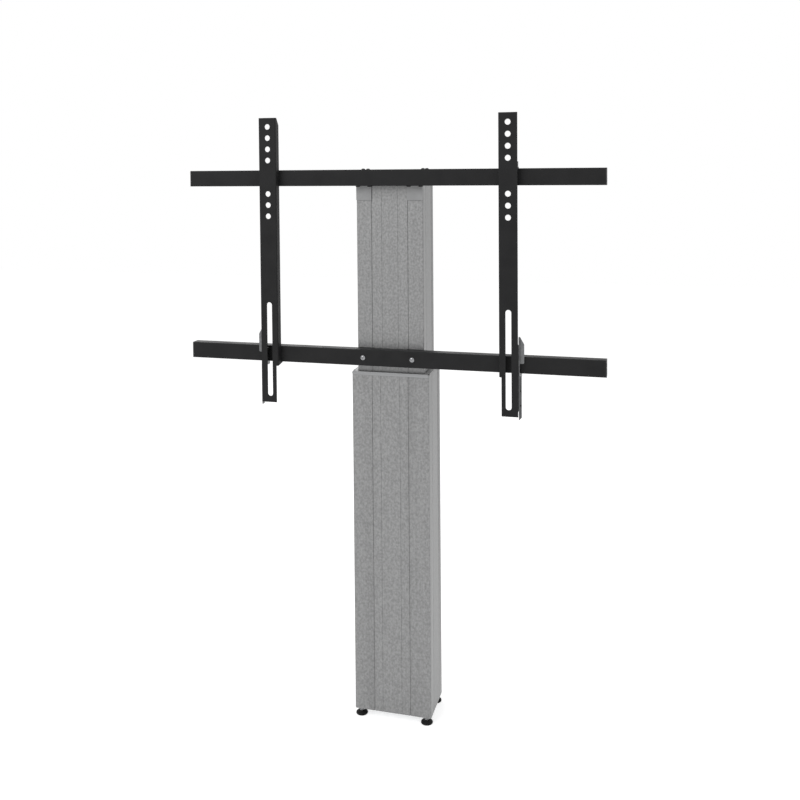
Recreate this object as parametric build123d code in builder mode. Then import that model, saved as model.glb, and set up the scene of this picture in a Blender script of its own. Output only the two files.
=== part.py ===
from build123d import *
import os
from math import acos, cos, pi, radians, sin, tan

os.makedirs("parts", exist_ok=True)

# Frame: millimetres, +Z up, the screen side faces -Y, the wall is at +Y.
# The origin is on the floor, on the column's axis.

# Outer column, a hollow aluminium extrusion that stands on four feet
column_width = 177.0
column_depth = 110.0
column_wall = 3.0
column_corner = 3.0
column_top = 788.0
floor_gap = 16.0

# Lifting travel and inner column
lift_travel = 500.0
side_gap = 9.0
front_gap = 3.5
inner_wall = 3.0
inner_corner = 2.5
inner_start = 60.0
port_radius = 4.0
port_bore = 2.25
port_spacing = 37.0

# Grooves pressed into both extrusions
deep_groove_x = 41.5
deep_groove_width = 1.8
deep_groove_depth = 1.3
fine_groove_x = 22.0
inner_fine_groove_x = 18.5
fine_groove_width = 1.2
fine_groove_depth = 0.6
side_groove_y = 27.0

# Horizontal bars, rectangular steel tube
bar_length = 942.0
bar_height = 36.0
bar_depth = 25.0
bar_wall = 2.0
bar_corner = 2.0
bar_pitch = 398.0
lowest_gap = 17.0

# Screen arms, bent sheet steel
arm_spacing = 540.0
arm_width = 40.0
arm_sheet = 2.5
arm_flange = 18.0
hole_pitch = 25.0
hole_rows = 9
upper_hole_rows = 4
lower_hole_rows = 3
hole_radius = 6.25
hole_above_bar = 115.0
end_margin = 20.0
slot_drop = 200.0
slot_travel = 200.0

# Fits and clearances
slide_gap = 0.3
fit_gap = 0.1
press_gap = 0.02
run_gap = 0.05

# Sizes and heights that follow from the driving dimensions
bore_width = column_width - 2 * column_wall
bore_depth = column_depth - 2 * column_wall
inner_width = bore_width - 2 * side_gap
inner_depth = bore_depth - 2 * front_gap
hollow_width = inner_width - 2 * inner_wall
hollow_depth = inner_depth - 2 * inner_wall
column_back = column_depth / 2
inner_front = -inner_depth / 2
lower_bar_z = column_top + lowest_gap + bar_height / 2
upper_bar_z = lower_bar_z + bar_pitch


def front_plane(y):
    """Vertical sketch plane at depth y that faces the screen side, x across and z up."""
    return Plane.XZ.offset(-y)


def side_plane(x):
    """Vertical sketch plane at x that faces right, y across and z up."""
    return Plane.YZ.offset(x)


def level(z):
    """Horizontal sketch plane at height z."""
    return Plane.XY.offset(z)


def pointing(direction, spots):
    """One plane at each spot, with its normal along direction."""
    return [Plane(origin=spot, z_dir=direction) for spot in spots]


def face_grooves(width, depth, fine_x):
    """Cuts the deep and fine grooves into an extrusion's four faces."""
    for face in (-depth / 2, depth / 2):
        with Locations((-deep_groove_x, face), (deep_groove_x, face)):
            Rectangle(deep_groove_width, 2 * deep_groove_depth, mode=Mode.SUBTRACT)
        with Locations((-fine_x, face), (fine_x, face)):
            Rectangle(fine_groove_width, 2 * fine_groove_depth, mode=Mode.SUBTRACT)
    for face in (-width / 2, width / 2):
        with Locations((face, -side_groove_y), (face, side_groove_y)):
            Rectangle(2 * fine_groove_depth, fine_groove_width, mode=Mode.SUBTRACT)


head_radius_share = 1.9
head_height_share = 1.1
socket_radius_share = 0.62


def button_screw(radius, length):
    """One screw: a low domed head with a hex socket above z = 0, its shank below."""
    head_radius = radius * head_radius_share
    head_height = radius * head_height_share
    with BuildPart() as screw:
        with BuildSketch(Plane.XZ):
            with BuildLine():
                Polyline((0, head_height), (0, -length), (radius, -length), (radius, 0), (head_radius, 0))
                Polyline((head_radius, 0), (head_radius, head_height / 4))
                SagittaArc((head_radius, head_height / 4), (head_radius / 2, head_height), head_height / 4)
                Line((head_radius / 2, head_height), (0, head_height))
            make_face()
        revolve(axis=Axis.Z)
        with BuildSketch(level(head_height)):
            RegularPolygon(radius * socket_radius_share, 6)
        extrude(amount=-head_height * socket_radius_share, mode=Mode.SUBTRACT)
    return screw.part


hex_radius_share = 0.85
hex_height_share = 0.65


def hex_bolt(radius, length):
    """One bolt: a hexagon head above z = 0, its shank below."""
    with BuildPart() as bolt:
        with BuildSketch(level(0)):
            RegularPolygon(2 * radius * hex_radius_share, 6, major_radius=False)
        extrude(amount=2 * radius * hex_height_share)
        with BuildSketch(level(0)):
            Circle(radius)
        extrude(amount=-length)
    return bolt.part


def hex_nut(radius, height):
    """One hexagon nut that stands on z = 0, for a bolt of the given radius."""
    with BuildPart() as nut:
        with BuildSketch(level(0)):
            RegularPolygon(2 * radius * hex_radius_share, 6, major_radius=False)
            Circle(radius + press_gap, mode=Mode.SUBTRACT)
        extrude(amount=height)
    return nut.part


# Collar that finishes the outer column's upper end, notched behind its front corners
collar_height = 3.0
collar_gap = 1.0
collar_notch_x = 5.0
collar_notch_y = 9.0
profile_top = column_top - collar_height

with BuildPart() as collar:
    with BuildSketch(level(profile_top)):
        RectangleRounded(column_width, column_depth, column_corner)
        Rectangle(inner_width + 2 * collar_gap, inner_depth + 2 * collar_gap, mode=Mode.SUBTRACT)
        with Locations((-column_width / 2, -column_depth / 2), (column_width / 2, -column_depth / 2)):
            Rectangle(2 * collar_notch_x, 2 * collar_notch_y, mode=Mode.SUBTRACT)
    extrude(amount=collar_height)
collar.part.label = "collar"
export_step(collar.part, "parts/collar.step")

# Front lip, a bright rounded strip across the top of the column's front face
lip_height = 8.0
lip_thickness = 2.0
lip_end_gap = 0.5
lip_round = 3.2
lip_edge = 0.8

with BuildPart() as front_lip:
    with BuildSketch(front_plane(-column_depth / 2)):
        with Locations((0, column_top - lip_height / 2)):
            RectangleRounded(column_width - 2 * lip_end_gap, lip_height, lip_round)
    extrude(amount=lip_thickness)
    fillet(front_lip.faces().sort_by(Axis.Y)[0].edges(), radius=lip_edge)
front_lip.part.label = "front_lip"
export_step(front_lip.part, "parts/front_lip.step")

# Base plate, let into the outer column's lower end, and the two screws that hold it
base_thickness = 8.0
base_top = floor_gap + base_thickness
foot_inset_x = 9.5
foot_inset_y = 8.0
foot_x = bore_width / 2 - foot_inset_x
foot_y = bore_depth / 2 - foot_inset_y
stud_radius = 4.0
base_screw_x = 40.0
base_screw_radius = 2.5
base_screw_depth = 12.0
base_screw_z = floor_gap + base_thickness / 2

with BuildPart() as base_plate:
    with BuildSketch(level(floor_gap)):
        Rectangle(bore_width - 2 * fit_gap, bore_depth - 2 * fit_gap)
        with GridLocations(2 * foot_x, 2 * foot_y, 2, 2):
            Circle(stud_radius + run_gap, mode=Mode.SUBTRACT)
    extrude(amount=base_thickness)
    with BuildSketch(front_plane(bore_depth / 2)):
        with Locations((-base_screw_x, base_screw_z), (base_screw_x, base_screw_z)):
            Circle(base_screw_radius + press_gap)
    extrude(amount=base_screw_depth, mode=Mode.SUBTRACT)
base_plate.part.label = "base_plate"
export_step(base_plate.part, "parts/base_plate.step")

base_screw = button_screw(base_screw_radius, column_wall + base_screw_depth - slide_gap)
with BuildPart() as base_screws:
    base_spots = [(x, column_back, base_screw_z) for x in (-base_screw_x, base_screw_x)]
    with Locations(*pointing((0, 1, 0), base_spots)):
        add(base_screw)
base_screws.part.label = "base_screws"
export_step(base_screws.part, "parts/base_screws.step")

# Levelling feet: a rubber-soled pad on a threaded stud, locked by a thin nut
pad_radius = 13.5
pad_edge = 3.0
pad_height = 8.0
hub_radius = 6.5
pad_socket_floor = 2.0
stud_clear = 10.0
stud_top = inner_start - stud_clear
lock_nut_height = 4.0

with BuildPart(mode=Mode.PRIVATE) as plain_pad:
    with BuildSketch(Plane.XZ):
        Polygon(
            (0, pad_socket_floor),
            (stud_radius + press_gap, pad_socket_floor),
            (stud_radius + press_gap, pad_height),
            (hub_radius, pad_height),
            (pad_radius, pad_edge),
            (pad_radius, 0),
            (0, 0),
            align=None,
        )
    revolve(axis=Axis.Z)

for foot_name, foot_spot in (
    ("front_left", (-foot_x, -foot_y)),
    ("front_right", (foot_x, -foot_y)),
    ("back_left", (-foot_x, foot_y)),
    ("back_right", (foot_x, foot_y)),
):
    with BuildPart() as foot_pad:
        with Locations(foot_spot):
            add(plain_pad.part)
    foot_pad.part.label = f"foot_pad_{foot_name}"
    export_step(foot_pad.part, f"parts/foot_pad_{foot_name}.step")

    with BuildPart() as foot_stud:
        with BuildSketch(level(pad_socket_floor)):
            with Locations(foot_spot):
                Circle(stud_radius)
        extrude(amount=stud_top - pad_socket_floor)
        chamfer(foot_stud.faces().sort_by(Axis.Z)[-1].edges(), length=stud_radius / 4)
    foot_stud.part.label = f"foot_stud_{foot_name}"
    export_step(foot_stud.part, f"parts/foot_stud_{foot_name}.step")

with BuildPart() as foot_lock_nuts:
    with BuildSketch(level(floor_gap)):
        with GridLocations(2 * foot_x, 2 * foot_y, 2, 2):
            RegularPolygon(2 * stud_radius * hex_radius_share, 6, major_radius=False)
            Circle(stud_radius + run_gap, mode=Mode.SUBTRACT)
    extrude(amount=-lock_nut_height)
foot_lock_nuts.part.label = "foot_lock_nuts"
export_step(foot_lock_nuts.part, "parts/foot_lock_nuts.step")

# Spur gears between the motor and the lifting screw
gear_module = 1.25
wheel_teeth = 48
pinion_teeth = 16
pressure_angle = radians(20)
addendum_share = 0.9
dedendum_share = 1.25
backlash = 0.3
gear_centres = gear_module * (wheel_teeth + pinion_teeth) / 2
flank_shares = (0.0, 0.3, 0.6, 1.0)


def gear_outline(teeth, first_angle, spot):
    """Closed outline of a spur gear with involute flanks and one tooth at first_angle."""
    pitch_radius = gear_module * teeth / 2
    base_radius = pitch_radius * cos(pressure_angle)
    tip_radius = pitch_radius + addendum_share * gear_module
    root_radius = pitch_radius - dedendum_share * gear_module
    flank_start = max(base_radius, root_radius)
    half_tooth = pi / (2 * teeth) - backlash / (4 * pitch_radius)
    pitch_roll = tan(pressure_angle) - pressure_angle

    def half_angle(radius):
        lean = acos(min(base_radius / radius, 1))
        return half_tooth + pitch_roll - (tan(lean) - lean)

    radii = [flank_start + share * (tip_radius - flank_start) for share in flank_shares]
    rise = [(r, half_angle(r)) for r in radii]
    if flank_start > root_radius:
        rise.insert(0, (root_radius, half_angle(flank_start)))
    points = []
    for tooth in range(teeth):
        centre = first_angle + 2 * pi * tooth / teeth
        flank = [(r, centre - angle) for r, angle in rise]
        flank += [(r, centre + angle) for r, angle in reversed(rise)]
        points += [(spot[0] + r * cos(a), spot[1] + r * sin(a)) for r, a in flank]
    return points


# Gearbox case: a cast tray on the base plate, with a bronze bush for the screw's lower end
spindle_radius = 7.0
case_floor = 5.0
case_wall = 3.0
case_gap = 2.0
case_inside = 21.0
case_corner = 5.0
boss_radius = 4.0
boss_inset = 6.5
case_screw_radius = 2.0
bush_wall = 3.0
gear_tip = gear_module * addendum_share
case_left = -(gear_module * wheel_teeth / 2 + gear_tip + case_gap + case_wall)
case_right = gear_centres + gear_module * pinion_teeth / 2 + gear_tip + case_gap + case_wall
case_length = case_right - case_left
case_width = -2 * case_left
case_middle = (case_left + case_right) / 2
case_top = base_top + case_floor + case_inside
bush_radius = spindle_radius + run_gap + bush_wall
case_screw_spots = [
    (case_middle + end * (case_length / 2 - boss_inset), side * (case_width / 2 - boss_inset))
    for end in (-1, 1)
    for side in (-1, 1)
]

with BuildPart() as gearbox_case:
    with BuildSketch(level(base_top)):
        with Locations((case_middle, 0)):
            RectangleRounded(case_length, case_width, case_corner)
    extrude(amount=case_floor + case_inside)
    with BuildSketch(level(base_top + case_floor)):
        with Locations((case_middle, 0)):
            RectangleRounded(case_length - 2 * case_wall, case_width - 2 * case_wall, case_corner - case_wall)
        with Locations(*case_screw_spots):
            Circle(boss_radius, mode=Mode.SUBTRACT)
    extrude(amount=case_inside, mode=Mode.SUBTRACT)
    with BuildSketch(level(base_top)):
        Circle(bush_radius)
    extrude(amount=case_floor, mode=Mode.SUBTRACT)
    with BuildSketch(level(case_top)):
        with Locations(*case_screw_spots):
            Circle(case_screw_radius + press_gap)
    extrude(amount=-(case_inside - case_floor), mode=Mode.SUBTRACT)
gearbox_case.part.label = "gearbox_case"
export_step(gearbox_case.part, "parts/gearbox_case.step")

with BuildPart() as lower_bush:
    with BuildSketch(level(base_top)):
        Circle(bush_radius)
        Circle(spindle_radius + run_gap, mode=Mode.SUBTRACT)
    extrude(amount=case_floor)
lower_bush.part.label = "lower_bush"
export_step(lower_bush.part, "parts/lower_bush.step")

# Gearbox cover, whose boss holds the screw's ball bearing
cover_thickness = 4.0
bearing_radius = 15.0
bearing_height = 9.0
bearing_seat = 1.0
ball_radius = 1.6
ball_count = 10
ball_path = (bearing_radius + spindle_radius) / 2
cover_boss_wall = 3.0
cover_hole_gap = 0.5
shaft_radius = 4.0
cover_top = case_top + cover_thickness
bearing_low = cover_top + bearing_seat
boss_top = bearing_low + bearing_height
case_screw_length = 14.0

with BuildPart() as gearbox_cover:
    with BuildSketch(level(case_top)):
        with Locations((case_middle, 0)):
            RectangleRounded(case_length, case_width, case_corner)
    extrude(amount=cover_thickness)
    with BuildSketch(level(cover_top)):
        Circle(bearing_radius + cover_boss_wall)
    extrude(amount=boss_top - cover_top)
    with BuildSketch(level(case_top)):
        Circle(spindle_radius + cover_hole_gap)
        with Locations((gear_centres, 0)):
            Circle(shaft_radius + cover_hole_gap)
        with Locations(*case_screw_spots):
            Circle(case_screw_radius + run_gap)
    extrude(amount=cover_thickness + bearing_seat, mode=Mode.SUBTRACT)
    with BuildSketch(level(bearing_low)):
        Circle(bearing_radius)
    extrude(amount=bearing_height, mode=Mode.SUBTRACT)
gearbox_cover.part.label = "gearbox_cover"
export_step(gearbox_cover.part, "parts/gearbox_cover.step")

case_screw = button_screw(case_screw_radius, case_screw_length)
with BuildPart() as gearbox_screws:
    with Locations(*pointing((0, 0, 1), [(x, y, cover_top) for x, y in case_screw_spots])):
        add(case_screw)
gearbox_screws.part.label = "gearbox_screws"
export_step(gearbox_screws.part, "parts/gearbox_screws.step")

with BuildPart() as bearing_outer_race:
    with BuildSketch(level(bearing_low)):
        Circle(bearing_radius)
        Circle(ball_path + ball_radius + run_gap, mode=Mode.SUBTRACT)
    extrude(amount=bearing_height)
bearing_outer_race.part.label = "bearing_outer_race"
export_step(bearing_outer_race.part, "parts/bearing_outer_race.step")

with BuildPart() as bearing_inner_race:
    with BuildSketch(level(bearing_low + slide_gap)):
        Circle(ball_path - ball_radius - run_gap)
        Circle(spindle_radius, mode=Mode.SUBTRACT)
    extrude(amount=bearing_height - slide_gap)
bearing_inner_race.part.label = "bearing_inner_race"
export_step(bearing_inner_race.part, "parts/bearing_inner_race.step")

with BuildPart() as bearing_balls:
    with Locations((0, 0, bearing_low + bearing_height / 2)):
        with PolarLocations(ball_path, ball_count):
            Sphere(ball_radius)
bearing_balls.part.label = "bearing_balls"
export_step(bearing_balls.part, "parts/bearing_balls.step")

# Motor: a steel can on the gearbox cover, an armature on a shaft, and its pinion
motor_radius = 18.0
motor_wall = 2.0
motor_height = 96.0
motor_floor = 3.0
motor_cap_height = 6.0
motor_cap_seat = 3.0
air_gap = 1.5
armature_height = 74.0
gear_low_gap = 3.0
wheel_height = 10.0
pinion_height = 12.0
gear_low = base_top + case_floor + gear_low_gap
motor_top = cover_top + motor_height
armature_low = cover_top + motor_floor + (motor_height - motor_floor - armature_height) / 2
shaft_top = motor_top + motor_cap_height - motor_cap_seat - slide_gap

with BuildPart() as motor_can:
    with BuildSketch(level(cover_top)):
        with Locations((gear_centres, 0)):
            Circle(motor_radius)
    extrude(amount=motor_height)
    with BuildSketch(level(cover_top + motor_floor)):
        with Locations((gear_centres, 0)):
            Circle(motor_radius - motor_wall)
    extrude(amount=motor_height - motor_floor, mode=Mode.SUBTRACT)
    with BuildSketch(level(cover_top)):
        with Locations((gear_centres, 0)):
            Circle(shaft_radius + run_gap)
    extrude(amount=motor_floor, mode=Mode.SUBTRACT)
motor_can.part.label = "motor_can"
export_step(motor_can.part, "parts/motor_can.step")

with BuildPart() as motor_cap:
    with BuildSketch(level(motor_top)):
        with Locations((gear_centres, 0)):
            Circle(motor_radius)
    extrude(amount=motor_cap_height)
    chamfer(motor_cap.faces().sort_by(Axis.Z)[-1].edges(), length=motor_wall)
    with BuildSketch(level(motor_top)):
        with Locations((gear_centres, 0)):
            Circle(shaft_radius + run_gap)
    extrude(amount=motor_cap_height - motor_cap_seat, mode=Mode.SUBTRACT)
motor_cap.part.label = "motor_cap"
export_step(motor_cap.part, "parts/motor_cap.step")

with BuildPart() as motor_shaft:
    with BuildSketch(level(gear_low)):
        with Locations((gear_centres, 0)):
            Circle(shaft_radius)
    extrude(amount=shaft_top - gear_low)
motor_shaft.part.label = "motor_shaft"
export_step(motor_shaft.part, "parts/motor_shaft.step")

with BuildPart() as motor_armature:
    with BuildSketch(level(armature_low)):
        with Locations((gear_centres, 0)):
            Circle(motor_radius - motor_wall - air_gap)
            Circle(shaft_radius, mode=Mode.SUBTRACT)
    extrude(amount=armature_height)
motor_armature.part.label = "motor_armature"
export_step(motor_armature.part, "parts/motor_armature.step")

with BuildPart() as motor_pinion:
    with BuildSketch(level(gear_low)):
        with BuildLine():
            Polyline(*gear_outline(pinion_teeth, pi / pinion_teeth, (gear_centres, 0)), close=True)
        make_face()
        with Locations((gear_centres, 0)):
            Circle(shaft_radius, mode=Mode.SUBTRACT)
    extrude(amount=pinion_height)
motor_pinion.part.label = "motor_pinion"
export_step(motor_pinion.part, "parts/motor_pinion.step")

# Lifting screw with its wheel, and the ring that keeps its free end central in the push tube
nut_clear = 2.0
nut_flange_height = 13.0
nut_spigot_height = 21.0
spindle_margin = 60.0
tube_radius = 15.0
tube_wall = 2.0
guide_height = 10.0
nut_low = boss_top + nut_clear
nut_top = nut_low + nut_flange_height + nut_spigot_height
spindle_top = nut_top + lift_travel + spindle_margin

with BuildPart() as spindle:
    with BuildSketch(level(base_top + slide_gap)):
        Circle(spindle_radius)
    extrude(amount=spindle_top - base_top - slide_gap)
    chamfer(spindle.faces().sort_by(Axis.Z)[-1].edges(), length=spindle_radius / 4)
spindle.part.label = "spindle"
export_step(spindle.part, "parts/spindle.step")

with BuildPart() as spindle_gear:
    with BuildSketch(level(gear_low + (pinion_height - wheel_height) / 2)):
        with BuildLine():
            Polyline(*gear_outline(wheel_teeth, 0, (0, 0)), close=True)
        make_face()
        Circle(spindle_radius, mode=Mode.SUBTRACT)
    extrude(amount=wheel_height)
spindle_gear.part.label = "spindle_gear"
export_step(spindle_gear.part, "parts/spindle_gear.step")

with BuildPart() as spindle_guide:
    with BuildSketch(level(spindle_top - 2 * guide_height)):
        Circle(tube_radius - tube_wall - slide_gap)
        Circle(spindle_radius, mode=Mode.SUBTRACT)
    extrude(amount=guide_height)
spindle_guide.part.label = "spindle_guide"
export_step(spindle_guide.part, "parts/spindle_guide.step")

# Wall fixing: a bent bracket on the column's back, and a wall plate whose ears close round it
wall_gap = 39.8
wall_face = column_back + wall_gap
bracket_sheet = 3.0
bracket_width = 120.0
bracket_height = 50.0
bracket_ear_reach = 33.0
plate_width = 150.0
plate_ear_reach = 35.0
ear_play = 0.2
bracket_low_z = 140.0
bracket_high_z = 640.0
bracket_screw_x = 40.0
bracket_screw_radius = 3.0
wall_hole_x = 45.0
wall_hole_radius = 4.5
ear_bolt_radius = 4.0
ear_bolt_inset = 22.0
ear_bolt_y = column_back + ear_bolt_inset
ear_bolt_nut = 6.5
bracket_heights = (bracket_low_z, bracket_high_z)
plate_ear_x = bracket_width / 2 + ear_play

with BuildPart() as column_brackets:
    for z in bracket_heights:
        with BuildSketch(level(z - bracket_height / 2)):
            with Locations((0, column_back)):
                Rectangle(bracket_width, bracket_sheet, align=(Align.CENTER, Align.MIN))
            with Locations((-bracket_width / 2, column_back)):
                Rectangle(bracket_sheet, bracket_ear_reach, align=(Align.MIN, Align.MIN))
            with Locations((bracket_width / 2, column_back)):
                Rectangle(bracket_sheet, bracket_ear_reach, align=(Align.MAX, Align.MIN))
        extrude(amount=bracket_height)
        with BuildSketch(front_plane(column_back + bracket_sheet)):
            with Locations((-bracket_screw_x, z), (bracket_screw_x, z)):
                Circle(bracket_screw_radius + run_gap)
        extrude(amount=bracket_sheet, mode=Mode.SUBTRACT)
        with BuildSketch(side_plane(0)):
            with Locations((ear_bolt_y, z)):
                Circle(ear_bolt_radius + run_gap)
        extrude(amount=bracket_width, both=True, mode=Mode.SUBTRACT)
column_brackets.part.label = "column_brackets"
export_step(column_brackets.part, "parts/column_brackets.step")

bracket_screw = button_screw(bracket_screw_radius, bracket_sheet + column_wall)
with BuildPart() as bracket_screws:
    bracket_spots = [
        (x, column_back + bracket_sheet, z)
        for x in (-bracket_screw_x, bracket_screw_x)
        for z in bracket_heights
    ]
    with Locations(*pointing((0, 1, 0), bracket_spots)):
        add(bracket_screw)
bracket_screws.part.label = "bracket_screws"
export_step(bracket_screws.part, "parts/bracket_screws.step")

with BuildPart() as wall_plates:
    for z in bracket_heights:
        with BuildSketch(level(z - bracket_height / 2)):
            with Locations((0, wall_face)):
                Rectangle(plate_width, bracket_sheet, align=(Align.CENTER, Align.MAX))
            with Locations((-plate_ear_x, wall_face)):
                Rectangle(bracket_sheet, plate_ear_reach, align=(Align.MAX, Align.MAX))
            with Locations((plate_ear_x, wall_face)):
                Rectangle(bracket_sheet, plate_ear_reach, align=(Align.MIN, Align.MAX))
        extrude(amount=bracket_height)
        with BuildSketch(front_plane(wall_face)):
            with Locations((-wall_hole_x, z), (wall_hole_x, z)):
                Circle(wall_hole_radius)
        extrude(amount=bracket_sheet, mode=Mode.SUBTRACT)
        with BuildSketch(side_plane(0)):
            with Locations((ear_bolt_y, z)):
                Circle(ear_bolt_radius + run_gap)
        extrude(amount=plate_width, both=True, mode=Mode.SUBTRACT)
wall_plates.part.label = "wall_plates"
export_step(wall_plates.part, "parts/wall_plates.step")

ear_bolt = hex_bolt(ear_bolt_radius, 2 * bracket_sheet + ear_play + ear_bolt_nut)
ear_nut = hex_nut(ear_bolt_radius, ear_bolt_nut)
with BuildPart() as bracket_bolts:
    for side in (-1, 1):
        head_spots = [(side * (plate_ear_x + bracket_sheet), ear_bolt_y, z) for z in bracket_heights]
        nut_spots = [(side * (bracket_width / 2 - bracket_sheet), ear_bolt_y, z) for z in bracket_heights]
        with Locations(*pointing((side, 0, 0), head_spots)):
            add(ear_bolt)
        with Locations(*pointing((-side, 0, 0), nut_spots)):
            add(ear_nut)
bracket_bolts.part.label = "bracket_bolts"
export_step(bracket_bolts.part, "parts/bracket_bolts.step")

# Outer column: the extrusion itself, with screw holes in its back wall
profile_length = profile_top - floor_gap

with BuildPart() as outer_profile:
    with BuildSketch(level(floor_gap)):
        RectangleRounded(column_width, column_depth, column_corner)
        Rectangle(bore_width, bore_depth, mode=Mode.SUBTRACT)
        face_grooves(column_width, column_depth, fine_groove_x)
    extrude(amount=profile_length)
    with BuildSketch(front_plane(column_back)):
        with Locations((-base_screw_x, base_screw_z), (base_screw_x, base_screw_z)):
            Circle(base_screw_radius + run_gap)
        for z in bracket_heights:
            with Locations((-bracket_screw_x, z), (bracket_screw_x, z)):
                Circle(bracket_screw_radius + press_gap)
    extrude(amount=column_wall, mode=Mode.SUBTRACT)
outer_profile.part.label = "outer_profile"
export_step(outer_profile.part, "parts/outer_profile.step")

# Control box between the wall brackets, with its board and mains inlet
control_width = 120.0
control_height = 180.0
control_depth = 34.0
control_wall = 2.5
control_corner = 6.0
control_z = (bracket_low_z + bracket_high_z) / 2
cover_sheet = 2.5
board_thickness = 1.6
board_gap = 5.0
standoff_height = 7.0
standoff_radius = 3.5
inlet_width = 28.0
inlet_depth = 20.0
inlet_height = 24.0
inlet_flange = 2.0
inlet_wall = 2.0
inlet_recess = 18.0
pin_width = 4.0
pin_thickness = 2.0
pin_length = 11.0
pin_step = 7.0
control_low = control_z - control_height / 2
control_back = column_back + control_depth
inlet_y = column_back + control_depth / 2
board_width = control_width - 2 * (control_wall + board_gap)
board_height = control_height - 2 * control_wall - board_gap - inlet_height
board_z = control_z + control_height / 2 - control_wall - board_gap / 2 - board_height / 2
standoff_x = board_width / 2 - 2 * standoff_radius
standoff_z = board_height / 2 - 2 * standoff_radius

with BuildPart() as control_case:
    with BuildSketch(front_plane(column_back)):
        with Locations((0, control_z)):
            RectangleRounded(control_width, control_height, control_corner)
    extrude(amount=-control_depth)
    with BuildSketch(front_plane(column_back + control_wall)):
        with Locations((0, control_z)):
            RectangleRounded(
                control_width - 2 * control_wall, control_height - 2 * control_wall, control_corner - control_wall
            )
    extrude(amount=-(control_depth - control_wall), mode=Mode.SUBTRACT)
    with BuildSketch(front_plane(column_back + control_wall)):
        with Locations((0, board_z)):
            with GridLocations(2 * standoff_x, 2 * standoff_z, 2, 2):
                Circle(standoff_radius)
    extrude(amount=-standoff_height)
    with BuildSketch(level(control_low)):
        with Locations((0, inlet_y)):
            Rectangle(inlet_width, inlet_depth)
    extrude(amount=control_wall, mode=Mode.SUBTRACT)
control_case.part.label = "control_case"
export_step(control_case.part, "parts/control_case.step")

vent_count = 7
vent_width = 60.0
vent_height = 3.0
vent_step = 8.0

with BuildPart() as control_cover:
    with BuildSketch(front_plane(control_back)):
        with Locations((0, control_z)):
            RectangleRounded(control_width, control_height, control_corner)
            with GridLocations(0, vent_step, 1, vent_count):
                SlotOverall(vent_width, vent_height, mode=Mode.SUBTRACT)
    extrude(amount=-cover_sheet)
control_cover.part.label = "control_cover"
export_step(control_cover.part, "parts/control_cover.step")

with BuildPart() as circuit_board:
    with BuildSketch(front_plane(column_back + control_wall + standoff_height)):
        with Locations((0, board_z)):
            Rectangle(board_width, board_height)
    extrude(amount=-board_thickness)
circuit_board.part.label = "circuit_board"
export_step(circuit_board.part, "parts/circuit_board.step")

with BuildPart() as power_inlet:
    with BuildSketch(level(control_low)):
        with Locations((0, inlet_y)):
            Rectangle(inlet_width - 2 * fit_gap, inlet_depth - 2 * fit_gap)
    extrude(amount=inlet_height)
    with BuildSketch(level(control_low)):
        with Locations((0, inlet_y)):
            RectangleRounded(inlet_width + 2 * inlet_flange, inlet_depth + 2 * inlet_flange, inlet_flange)
    extrude(amount=-inlet_flange)
    with BuildSketch(level(control_low - inlet_flange)):
        with Locations((0, inlet_y)):
            Rectangle(inlet_width - 2 * inlet_wall, inlet_depth - 2 * inlet_wall)
    extrude(amount=inlet_recess + inlet_flange, mode=Mode.SUBTRACT)
    with BuildSketch(level(control_low + inlet_recess)):
        with Locations((-pin_step, inlet_y), (0, inlet_y), (pin_step, inlet_y)):
            Rectangle(pin_thickness, pin_width)
    extrude(amount=-pin_length)
power_inlet.part.label = "power_inlet"
export_step(power_inlet.part, "parts/power_inlet.step")

# Inner column with screw ports along its side walls, holed for the lower bar's screws
plate_thickness = 4.0
inner_top = upper_bar_z + bar_height / 2 - plate_thickness
port_x = hollow_width / 2 - port_radius
port_y = port_spacing / 2
bar_screw_inset = 17.5
bar_screw_x = hollow_width / 2 - bar_screw_inset
bar_screw_radius = 3.15

with BuildPart() as inner_profile:
    with BuildSketch(level(inner_start)):
        RectangleRounded(inner_width, inner_depth, inner_corner)
        Rectangle(hollow_width, hollow_depth, mode=Mode.SUBTRACT)
        with GridLocations(2 * port_x, 2 * port_y, 2, 2):
            Circle(port_radius)
        with GridLocations(hollow_width - port_radius, 2 * port_y, 2, 2):
            Rectangle(port_radius, port_radius)
        with GridLocations(2 * port_x, 2 * port_y, 2, 2):
            Circle(port_bore, mode=Mode.SUBTRACT)
        face_grooves(inner_width, inner_depth, inner_fine_groove_x)
    extrude(amount=inner_top - inner_start)
    with BuildSketch(front_plane(inner_front + inner_wall)):
        with Locations((-bar_screw_x, lower_bar_z), (bar_screw_x, lower_bar_z)):
            Circle(bar_screw_radius + run_gap)
    extrude(amount=inner_wall, mode=Mode.SUBTRACT)
inner_profile.part.label = "inner_profile"
export_step(inner_profile.part, "parts/inner_profile.step")

# Top bracket: a plate on the inner column's end, with two tongues bent down behind the upper bar
tongue_sheet = 3.0
tongue_width = 35.0
tongue_drop = 32.0
tongue_inset = 0.5
tongue_x = inner_width / 2 - tongue_width / 2 - tongue_inset
socket_wall = 4.0
socket_depth = 12.0
plate_top = inner_top + plate_thickness
bar_back = inner_front - tongue_sheet
bar_front = bar_back - bar_depth
tongue_low = upper_bar_z - bar_height / 2 - tongue_drop

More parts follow.
